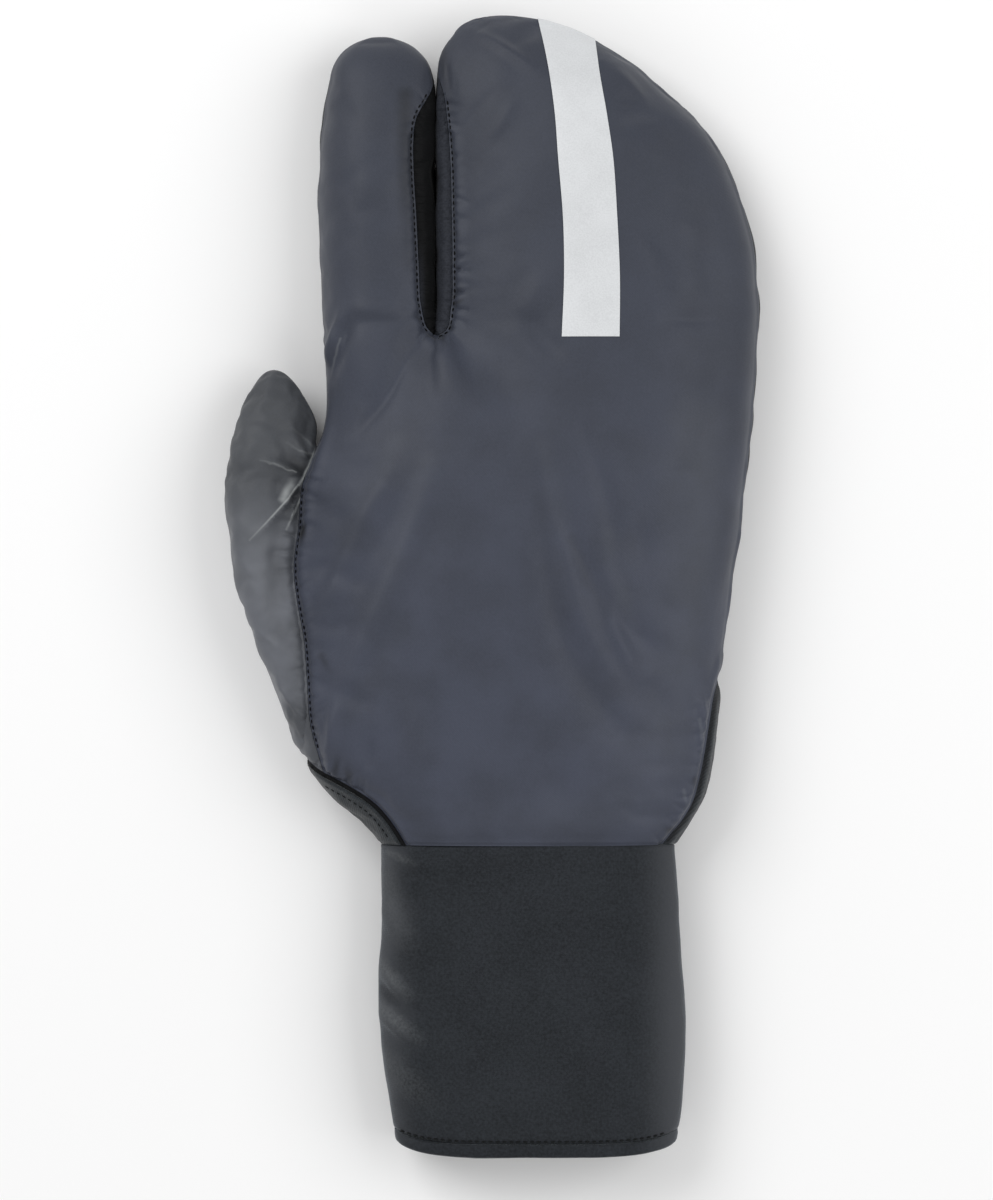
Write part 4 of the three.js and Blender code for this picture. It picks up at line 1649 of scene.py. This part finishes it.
# Cuff knit, lighter along both sides as painted sheen. Its creases are painted highlights on folds, and
# painted shade in one fold.
KNIT = KnitFinish("cuff_knit_painted_sheen", (0.0150, 0.0172, 0.0205), (0.062, 0.066, 0.074), creases=(
    Crease(((-28.6, -77), (-26, -88), (-21.5, -95)), 2.6, 0.05),
    Crease(((-29.4, -100), (-22, -108)), 1.5, 0.1),
    Crease(((-29.4, -111.5), (-19, -119)), 1.7, 0.1), Crease(((-27.5, -126), (-16, -136)), 3.0, 0.05),
    Crease(((-27.5, -70.3), (-20.5, -73.2)), 0.8, 0.07), Crease(((-28.6, -106.5), (-23, -112)), 1.4, -0.5),
))
TAPE = TapeFinish("binding_tape_ribbed", (0.0195, 0.0235, 0.0275))
# Painted shadow line in the groove beside the little side's binding, along its edge.
LITTLE_HEM_SHADOW = tuple((float(x), float(y)) for x, y in LITTLE_HEM_LINE.shifted(0.55)[::6])
LITTLE_TAPE = TapeFinish("little_tape_ribbed", TAPE.colour, (Crease(LITTLE_HEM_SHADOW, 0.5, -0.95, False),))
# Slot strip cloth: near black as painted shade on the index finger's side, slate as painted light on the
# mitt's side.
FOURCHETTE_CLOTH = StretchClothFinish("fourchette_stretch", (0.0010, 0.0012, 0.0016), (0.028, 0.031, 0.040))
PALM_CLOTH = PalmClothFinish("palm_cloth_grip", (0.020, 0.022, 0.026))
REFLECTIVE = ReflectiveFinish("reflective_beads", (0.67, 0.685, 0.70))
BLACK_THREAD = ThreadFinish("black_thread", (0.002, 0.002, 0.0025))
CUFF_THREAD = ThreadFinish("cuff_thread", (0.004, 0.0045, 0.005))
PIPING_CORD = ThreadFinish("piping_black", (0.0022, 0.0024, 0.0028), 0.9)
FLOOR = FloorFinish("studio_floor", (0.93, 0.93, 0.93))
DRESSED: dict[Finish, bpy.types.Material] = {}


def show(piece: bpy.types.Object, finish: Finish, node: Optional[str]) -> bpy.types.Object:
    """Dresses a piece, hangs it under the root body and hides the CAD node that it replaces.

    Args:
        piece: The piece.
        finish: Its finish.
        node: The CAD node that it replaces, if any.

    Returns:
        The piece.
    """
    if finish not in DRESSED:
        DRESSED[finish] = finish.material()
    piece.data.materials.clear()
    piece.data.materials.append(DRESSED[finish])
    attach(piece, "root")
    if node is not None:
        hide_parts(node)
    LOG.info("%s: %d faces", piece.name, len(piece.data.polygons))
    return piece


# Sub-assemblies


@dataclass
class Shell:
    """Nylon shell: back, palm, slot strip, thumb, bindings, piping and reflective stripe.

    Args:
        cell: Size of the cloth's cells while it settles.
        inner_cell: Size of the cells of the inner space.
        inner_start_y: Where the inner space starts, past the shell's hem.
        binding_proud: How much thicker the bindings are than the nylon.
        piping_width: Width of the piping.
        piping_rise: How far the piping stands proud.
        stripe_lift: Gap between nylon and stripe.
        stripe_thickness: Thickness of the stripe.
        surface: The hand's outer face, once it is built.
    """

    cell: float = 2.2
    inner_cell: float = 4.5
    inner_start_y: float = -82.0
    binding_proud: float = 0.35
    piping_width: float = 0.9
    piping_rise: float = 0.45
    stripe_lift: float = 0.05
    stripe_thickness: float = 0.22
    surface: Optional[BVHTree] = field(default=None, repr=False)

    def build(self) -> None:
        """Builds and dresses all pieces."""
        hand = self.hand_skin()
        thumb = self.thumb_skin()
        self.surface = BVHTree.FromBMesh(hand)
        inner_hand = closed(HandForm(self.inner_cell, INNER_SETBACK, self.inner_start_y).build())
        inner_thumb = self.tuck(ThumbForm(self.inner_cell).build())
        self.cavities = [
            as_object("hand_cavity", closed(swollen(inner_hand, -WALL))),
            as_object("thumb_cavity", swollen(inner_thumb, -WALL)),
        ]
        self.make_stripe(hand)
        self.hand_blank = as_object("hand_blank", hand)
        self.thumb_blank = as_object("thumb_blank", thumb)
        self.make_cutters()
        self.make_panels()
        self.make_thumb()
        self.make_hems()
        for helper in [*self.cavities, self.hand_blank, self.thumb_blank, *self.cutters]:
            bpy.data.objects.remove(helper)

    def hand_skin(self) -> bmesh.types.BMesh:
        """Makes the outer skin of hand, index finger and mitt pouch, settled and creased."""
        mesh = HandForm(self.cell).build()
        mesh = ClothSettling().run(mesh, "hand_cloth")
        mesh = smoothed(mesh, "hand_smooth")
        mesh = refine(mesh, 5.0)
        mesh = refine(mesh, 1.8)
        relief = Relief(mesh)
        points = relief.points
        flat = smoothstep(points[:, 2], 1.0, 6.0)
        relief.folds(BACK_FOLDS, 2.8)
        little_side = relief.beside(LITTLE_HEM_LINE)[0]
        relief.height *= np.where(little_side < FAR, smoothstep(-little_side, 0.3, 2.8), 1.0)
        relief.ripple(11, 26, 0.16, relief.upper)
        relief.ripple(12, 9, 0.05, relief.upper)
        relief.ripple(13, 14, 0.25, (1 - relief.upper) * flat)
        slot = relief.beside(SLOT_LINE)[0]
        high = smoothstep(points[:, 2], FOURCHETTE_BOTTOM, FOURCHETTE_BOTTOM + 2)
        tips = 5 * smoothstep(points[:, 1], 116, 127)
        relief.groove(np.where(high > 0.5, np.abs(slot) + tips, 99), 0.8, 1.1, 0.35)
        below_hem = FAR * (relief.beside(THUMB_HEM_LINE)[0] < 0.6)
        relief.groove(np.abs(relief.beside(THUMB_LINE)[0]) + below_hem, 0.9, 0.9, 0.4)
        relief.groove(points[:, 2] - SEAM_HEIGHT, 0.7, 0.7, 0.25)
        end = smoothstep(-np.abs(points[:, 1] - SHELL_HEM_Y), -1.6, 0.0)
        relief.height -= 0.45 * end**2
        self.hem_relief(relief)
        for row in HAND_PUCKERS:
            relief.puckers(row)
        return closed(relief.press())

    def hem_relief(self, relief: Relief) -> None:
        """Presses the hems' grooves, raises the bindings and rounds the piping."""
        thumb_side = relief.beside(THUMB_HEM_LINE)[0]
        relief.groove(thumb_side, 0.5, 0.7, 0.25)
        centre = -self.piping_width / 2
        rounding = np.clip(1 - ((thumb_side - centre) / (self.piping_width / 2)) ** 2, 0, 1) ** 0.5
        relief.height += (self.piping_rise + 0.3) * rounding * relief.upper
        tape = smoothstep(-thumb_side, self.piping_width, self.piping_width + 0.8)
        relief.height += self.binding_proud * tape * relief.upper
        little_side = relief.beside(LITTLE_HEM_LINE)[0]
        relief.groove(little_side, 0.6, 0.8, 0.3)
        relief.height += self.binding_proud * smoothstep(little_side, 0.2, 1.2) * (little_side < 15)

    def thumb_skin(self) -> bmesh.types.BMesh:
        """Makes the outer skin of the thumb pouch."""
        mesh = self.tuck(ThumbForm(1.3).build())
        form = coordinates(mesh)
        mesh = ClothSettling(pressure=1.0, slack=0.03, limit=1.6).run(mesh, "thumb_cloth")
        under = (form[:, 2] < SEAM_HEIGHT)[:, None]
        move(mesh, np.where(under, form, coordinates(mesh)))
        mesh = smoothed(mesh, "thumb_smooth")
        mesh = refine(mesh, 4.0)
        relief = Relief(mesh)
        relief.folds(THUMB_FOLDS)
        relief.ripple(21, 11, 0.16, relief.upper)
        relief.ripple(22, 5, 0.06, relief.upper)
        relief.groove(relief.beside(THUMB_LINE)[0], 0.9, 0.8, 0.3)
        self.hem_relief(relief)
        for row in THUMB_PUCKERS:
            relief.puckers(row)
        return closed(relief.press())

    def tuck(self, mesh: bmesh.types.BMesh) -> bmesh.types.BMesh:
        """Lowers the thumb along its seam to the height of the hand's edge there."""
        points = coordinates(mesh)
        aside, along = THUMB_LINE.locate(points[:, :2])
        seam_x = np.interp(along, THUMB_LINE.at, THUMB_LINE.points[:, 0])
        seam_y = np.interp(along, THUMB_LINE.at, THUMB_LINE.points[:, 1])
        level = np.maximum(hand_top(seam_x, seam_y) - 0.5, SEAM_HEIGHT + 1.0)
        over = np.maximum(points[:, 2] - level, 0)
        outside = np.where(aside < FAR, np.maximum(-aside, 0), FAR)
        points[:, 2] -= over * np.exp(-((outside / 7.5) ** 2))
        move(mesh, points)
        return mesh

    def make_cutters(self) -> None:
        """Makes the cutters that part the shell along its seams."""
        gap = SEAM_GAP
        self.thumb_inside = side_of("thumb_inside", THUMB_LINE, 0, -FAR)
        self.thumb_outside = side_of("thumb_outside", THUMB_LINE, gap, -FAR)
        self.thumb_hem = side_of("thumb_hem", THUMB_HEM_LINE, gap, -FAR)
        self.tape_area = side_of("tape_area", THUMB_HEM_LINE, -self.piping_width - gap, -FAR)
        self.piping_area = strip("piping_area", THUMB_HEM_LINE, 0, -self.piping_width)
        self.little_inside = side_of("little_inside", LITTLE_HEM_LINE, 0, FAR)
        self.little_outside = side_of("little_outside", LITTLE_HEM_LINE, -gap, FAR)
        self.slot_inside = prism("slot_inside", SLOT_LINE.points, FOURCHETTE_BOTTOM)
        self.slot_outside = prism("slot_outside", SLOT_LINE.shifted(-gap), FOURCHETTE_BOTTOM - gap)
        self.above_hem = block("above_hem", (-FAR, SHELL_HEM_Y, -FAR), (FAR, FAR, FAR))
        level = SEAM_HEIGHT
        self.upper_half = block("upper_half", (-FAR, -FAR, level + gap / 2), (FAR, FAR, FAR))
        self.lower_half = block("lower_half", (-FAR, -FAR, -FAR), (FAR, FAR, level - gap / 2))
        self.cutters = [
            self.thumb_inside, self.thumb_outside, self.thumb_hem, self.tape_area, self.piping_area,
            self.little_inside, self.little_outside, self.slot_inside, self.slot_outside, self.above_hem,
            self.upper_half, self.lower_half,
        ]

    def hollow(self) -> list:
        """Cuts that take the hand's and thumb's inner space out of a piece."""
        return [(Cut.REMOVE, cavity) for cavity in self.cavities]

    def make_panels(self) -> None:
        """Cuts the back, the palm and the slot's strip."""
        panel = [
            (Cut.KEEP, self.above_hem), (Cut.REMOVE, self.thumb_outside), (Cut.REMOVE, self.slot_outside),
            (Cut.REMOVE, self.thumb_hem), (Cut.REMOVE, self.little_outside), *self.hollow(),
        ]
        back = carve("back_panel_nylon", self.hand_blank, [(Cut.KEEP, self.upper_half), *panel])
        show(back, BACK_NYLON, "back_panel")
        palm = carve("palm_panel_cloth", self.hand_blank, [(Cut.KEEP, self.lower_half), *panel])
        show(palm, PALM_CLOTH, "palm_panel")
        fourchette = carve("slot_strip", self.hand_blank, [(Cut.KEEP, self.slot_inside), *self.hollow()])
        show(fourchette, FOURCHETTE_CLOTH, "index_mitt_fourchette")

    def make_thumb(self) -> None:
        """Cuts the thumb pouch."""
        cuts = [
            (Cut.ADD, self.hand_blank), (Cut.KEEP, self.thumb_inside), (Cut.REMOVE, self.thumb_hem),
            *self.hollow(),
        ]
        thumb = carve("thumb_nylon_pouch", self.thumb_blank, cuts)
        show(thumb, THUMB_NYLON, "thumb_pouch")

    def make_hems(self) -> None:
        """Cuts both bindings and the piping."""
        ends = [(Cut.KEEP, self.above_hem), *self.hollow()]
        tape = carve("thumb_side_tape", self.hand_blank, [(Cut.KEEP, self.tape_area), *ends])
        show(tape, TAPE, "thumb_side_binding")
        cord = carve("thumb_side_cord", self.hand_blank, [(Cut.KEEP, self.piping_area), *ends])
        show(cord, PIPING_CORD, "thumb_side_piping")
        little = carve("little_side_tape", self.hand_blank, [(Cut.KEEP, self.little_inside), *ends])
        show(little, LITTLE_TAPE, "little_side_binding")

    def make_stripe(self, hand: bmesh.types.BMesh) -> None:
        """Lays the reflective stripe on the nylon."""
        patch = swollen(hand, self.stripe_lift + self.stripe_thickness)
        points = coordinates(patch)
        corners = np.array(STRIPE_OUTLINE)
        beyond = np.any(np.abs(points[:, :2] - (corners.min(0) + corners.max(0)) / 2)
                        > np.ptp(corners, axis=0) / 2 + 4, axis=1)
        patch.verts.ensure_lookup_table()
        spare = [patch.verts[int(i)] for i in np.nonzero(beyond | (points[:, 2] < SEAM_HEIGHT - 2))[0]]
        bmesh.ops.delete(patch, geom=spare, context="VERTS")
        bmesh.ops.solidify(patch, geom=patch.faces[:], thickness=self.stripe_thickness * MM)
        bmesh.ops.recalc_face_normals(patch, faces=patch.faces)
        over = as_object("stripe_over", patch)
        outline = prism("stripe_outline", SeamLine(STRIPE_OUTLINE[:7], 2.0).points.tolist()
                        + SeamLine(STRIPE_OUTLINE[7:], 2.0).points.tolist(), SEAM_HEIGHT + 0.2)
        stripe = carve("reflective_stripe_film", over, [(Cut.KEEP, outline)])
        for helper in (over, outline):
            bpy.data.objects.remove(helper)
        show(stripe, REFLECTIVE, "reflective_stripe")


@dataclass
class Cuff:
    """Long stretch cuff: a tube with a turned, stitched hem at its mouth.

    Args:
        wall: Thickness of the folded knit.
        cell: Rough size of a mesh cell.
        tuck_y: Where the cuff's upper end lies, inside the shell.
        lip: Radius of the rounded mouth edge.
        lift_y: Where the corners start to rise towards the mouth.
        under: How far the cuff is taken in under the shell's hem.
        middle: A place on its middle line.
        surface: The outer face, once it is built.
    """

    wall: float = 1.9
    cell: float = 1.1
    tuck_y: float = -65.5
    lip: float = 0.95
    lift_y: float = -120.0
    under: float = 2.5
    middle: tuple = (10.5, 0.0, 13.5)
    surface: Optional[BVHTree] = field(default=None, repr=False)

    def build(self) -> None:
        """Builds and dresses the cuff and its hem."""
        cuff = self.tube(HEM_SEAM_Y + 0.02, self.tuck_y, False)
        self.surface = BVHTree.FromBMesh(cuff)
        piece = finished("cuff_knit_tube", cuff, 70)
        show(piece, KNIT, "cuff")
        hem = self.tube(MOUTH_Y, HEM_SEAM_Y, True)
        band = finished("cuff_turned_hem", hem, 70)
        show(band, KNIT, "cuff_hem")

    def ring(self, row: Row, inset: float) -> np.ndarray:
        """Corners of one section, taken in on all sides, its corners lifted at the mouth."""
        share = np.linspace(0, 1, round(96 / self.cell) + 1)
        ring = np.concatenate([
            half_section(row, share, True, inset=inset),
            half_section(row, share[::-1], False, inset=inset)[1:-1],
        ])
        ring[:, 1] += self.lift(ring[:, 0], row.y)
        return ring

    def lift(self, x: np.ndarray, y: float) -> np.ndarray:
        """How far the corners of the mouth are lifted towards the hand."""
        middle = (CUFF_ROWS[0][1] + CUFF_ROWS[0][2]) / 2
        reach = CUFF_ROWS[0][2] - middle
        corner = CORNER_LIFT * np.clip((x - middle) / reach, -1, 1) ** 6
        return corner * np.clip((self.lift_y - y) / (self.lift_y - MOUTH_Y), 0, 1)

    def tube(self, low: float, high: float, hem: bool) -> bmesh.types.BMesh:
        """A tube with a wall, from a low to a high place along the cuff.

        Args:
            low: Its end towards the mouth.
            high: Its end towards the hand.
            hem: Whether it is the turned hem, whose low end is rounded.

        Returns:
            Its closed mesh.
        """
        loft = Loft()
        rows = CUFF.rows(self.cell / 3 if hem else self.cell, low, high)
        outer = [(row, self.take_in(row.y)) for row in rows]
        inner = [(row, self.take_in(row.y) + self.wall) for row in rows]
        if hem:
            outer = [(row, self.edge_round(row.y)) for row in rows]
            inner = [(row, self.wall - self.edge_round(row.y)) for row in rows]
        ring = loft.start(self.ring(*inner[-1]))
        first_ring = ring
        for row, inset in inner[-2::-1]:
            ring = loft.grow(ring, self.ring(row, inset))
        for row, inset in outer:
            ring = loft.grow(ring, self.ring(row, inset))
        bmesh.ops.bridge_loops(loft.mesh, edges=loft.edges(ring) + loft.edges(first_ring))
        bmesh.ops.recalc_face_normals(loft.mesh, faces=loft.mesh.faces)
        return self.crease(loft.mesh, hem)

    def edge_round(self, y: float) -> float:
        """How far the mouth's edge is rounded in at a place."""
        near = max(0.0, 1 - (y - MOUTH_Y) / self.lip)
        return self.lip * (1 - math.sqrt(max(0.0, 1 - near**2))) * 0.85

    def take_in(self, y: float) -> float:
        """How far the cuff is taken in, where it passes under the shell's hem."""
        near = float(smoothstep(np.array(y), SHELL_HEM_Y - 0.15, SHELL_HEM_Y + 1.1))
        return self.under * near

    def crease(self, mesh: bmesh.types.BMesh, hem: bool) -> bmesh.types.BMesh:
        """Presses the cuff's soft folds and the stitched line of its hem into its outer face."""
        relief = Relief(mesh)
        points = relief.points
        from_middle = points - np.array(self.middle)
        outward = np.sum(from_middle * relief.facing * np.array([0.15, 0, 1.0]), axis=1) > 0
        relief.folds(CUFF_FOLDS, 1.3)
        relief.ripple(31, 24, 0.22)
        relief.ripple(32, 9, 0.05)
        stitched = np.abs(points[:, 1] - self.seam_y(points[:, 0]))
        relief.groove(stitched, 0.7, 0.28, 0.0)
        relief.height *= outward
        return relief.press(1.0)

    def seam_y(self, x: np.ndarray) -> np.ndarray:
        """Place along the glove of the hem's stitched line."""
        return HEM_SEAM_Y + self.lift(x, HEM_SEAM_Y)


@dataclass
class StitchRun:
    """A run of machine stitches as short rounded threads.

    Args:
        name: The piece's name.
        pitch: Distance from one stitch to the next.
        length: Length of a stitch.
        thickness: Thickness of the thread.
        sink: How far the thread's middle lies below the cloth's face.
    """

    name: str
    pitch: float = 1.65
    length: float = 1.1
    thickness: float = 0.5
    sink: float = -0.06

    def build(
        self, route: np.ndarray, surfaces: Sequence[BVHTree], finish: ThreadFinish, slot: str
    ) -> None:
        """Sews along a route on the upper side.

        Args:
            route: Places (x, y) along the run, close together.
            surfaces: The cloths that it may lie on. The highest is taken.
            finish: The thread's finish.
            slot: Name of a material slot; not used.
        """
        at = travelled(route)
        mesh = bmesh.new()
        for place in np.arange(self.pitch / 2, at[-1] - self.pitch / 2, self.pitch):
            ends = []
            for shift in (-self.length / 2, self.length / 2):
                x = float(np.interp(place + shift, at, route[:, 0]))
                y = float(np.interp(place + shift, at, route[:, 1]))
                ends.append(self.drop(x, y, surfaces))
            if None in ends:
                continue
            self.sew(mesh, *ends)
        piece = finished(self.name, mesh, 180)
        show(piece, finish, None)

    def drop(self, x: float, y: float, surfaces: Sequence[BVHTree]) -> Optional[Vector]:
        """The highest place of some cloths at a place seen from above."""
        hits = [tree.ray_cast(Vector((x * MM, y * MM, 0.1)), Vector((0, 0, -1)))[0] for tree in surfaces]
        found = [hit for hit in hits if hit is not None]
        return max(found, key=lambda hit: hit.z) if found else None

    def sew(self, mesh: bmesh.types.BMesh, start: Vector, end: Vector) -> None:
        """Adds one stitch between two places on the cloth."""
        along = end - start
        if along.length > 2 * self.length * MM:
            return
        middle = (start + end) / 2 - Vector((0, 0, self.sink * MM))
        turn = along.to_track_quat("X", "Z").to_matrix().to_4x4()
        size = Matrix.Diagonal((along.length / 2, self.thickness * MM / 2, self.thickness * MM / 2, 1))
        matrix = Matrix.Translation(middle) @ turn @ size
        bmesh.ops.create_icosphere(mesh, subdivisions=2, radius=1.0, matrix=matrix)


@dataclass
class Stitching:
    """All stitch rows that show on the glove."""

    def build(self, shell: BVHTree, cuff: BVHTree) -> None:
        """Sews every run.

        Args:
            shell: The shell's outer face.
            cuff: The cuff's outer face.
        """
        slot = SLOT_LINE.shifted(-0.7)
        half = int(np.argmin(slot[:, 1]))
        StitchRun("slot_stitches_index_side").build(slot[4:half], [shell], BLACK_THREAD, "fourchette_cloth")
        StitchRun("slot_stitches_mitt_side").build(slot[half:-4], [shell], BLACK_THREAD, "fourchette_cloth")
        thumb = THUMB_LINE.shifted(0.55)
        along = THUMB_LINE.at
        run = thumb[(along > 37) & (along < 109)]
        StitchRun("thumb_stitches").build(run, [shell], BLACK_THREAD, "thumb_nylon")
        band = THUMB_HEM_LINE.shifted(-3.1)[2:]
        band = band[band[:, 1] > SHELL_HEM_Y + 0.6]
        StitchRun("tape_stitches", 1.7, 1.05, 0.42, -0.05).build(band, [shell], CUFF_THREAD, "binding_tape")
        x = np.linspace(-24.5, 47.0, 120)
        route = np.stack([x, Cuff().seam_y(x) + 0.7], axis=1)
        StitchRun("cuff_hem_stitches", 1.8, 1.2, 0.62, -0.12).build(route, [cuff], CUFF_THREAD, "cuff_knit")


# Lights: name, place in metres, side, power in watts
LIGHTS = (
    ("key_light", (-0.75, 0.7, 1.05), 0.9, 10.0),
    ("fill_light", (1.0, 0.1, 1.1), 1.1, 8.5),
    ("foot_light", (-0.1, -1.2, 1.1), 1.0, 2.4),
)


@dataclass
class Studio:
    """Pale floor, soft lights and the camera straight above the glove.

    Args:
        frame_height: Height of the picture at the glove, in millimetres.
        centre: Middle of the picture on the glove.
        lens: Focal length of the camera.
        sensor: Width of the camera's sensor.
    """

    frame_height: float = 316.9
    centre: tuple = (1.06, -4.2)
    lens: float = 135.0
    sensor: float = 36.0

    def build(self) -> None:
        """Makes camera, floor, lights and the pale surroundings."""
        self.make_camera()
        self.make_floor()
        for light in LIGHTS:
            self.make_light(*light)
        world = bpy.data.worlds.new("studio")
        world.use_nodes = True
        background = world.node_tree.nodes["Background"]
        background.inputs["Color"].default_value = (1, 1, 1, 1)
        background.inputs["Strength"].default_value = 0.47
        bpy.context.scene.world = world
        bpy.context.scene.view_settings.view_transform = "Standard"

    def make_camera(self) -> None:
        """Puts the camera straight above, where the photograph was taken from."""
        data = bpy.data.cameras.new("camera")
        data.lens = self.lens
        data.sensor_width = self.sensor
        data.clip_start = 0.05
        data.clip_end = 20
        camera = bpy.data.objects.new("camera", data)
        distance = self.frame_height * self.lens / self.sensor + SEAM_HEIGHT
        camera.location = Vector((*self.centre, distance)) * MM
        bpy.context.scene.collection.objects.link(camera)
        bpy.context.scene.camera = camera

    def make_floor(self) -> None:
        """Lays the floor."""
        mesh = bmesh.new()
        bmesh.ops.create_grid(mesh, x_segments=8, y_segments=8, size=3.0)
        floor = as_object("studio_floor", mesh)
        floor.data.materials.append(FLOOR.material())

    def make_light(self, name: str, place: tuple, size: float, power: float) -> None:
        """Hangs a square soft light that faces the glove.

        Args:
            name: Its name.
            place: Where it hangs, in metres.
            size: Its side.
            power: Its power in watts.
        """
        data = bpy.data.lights.new(name, "AREA")
        data.size = size
        data.energy = power
        light = bpy.data.objects.new(name, data)
        light.location = place
        light.rotation_euler = (-Vector(place)).to_track_quat("-Z", "Y").to_euler()
        bpy.context.scene.collection.objects.link(light)


def main() -> None:
    """Builds the glove and its studio."""
    logging.basicConfig(level=logging.INFO, format="%(message)s")
    Studio().build()
    shell = Shell()
    shell.build()
    cuff = Cuff()
    cuff.build()
    Stitching().build(shell.surface, cuff.surface)


if __name__ == "__main__":
    main()
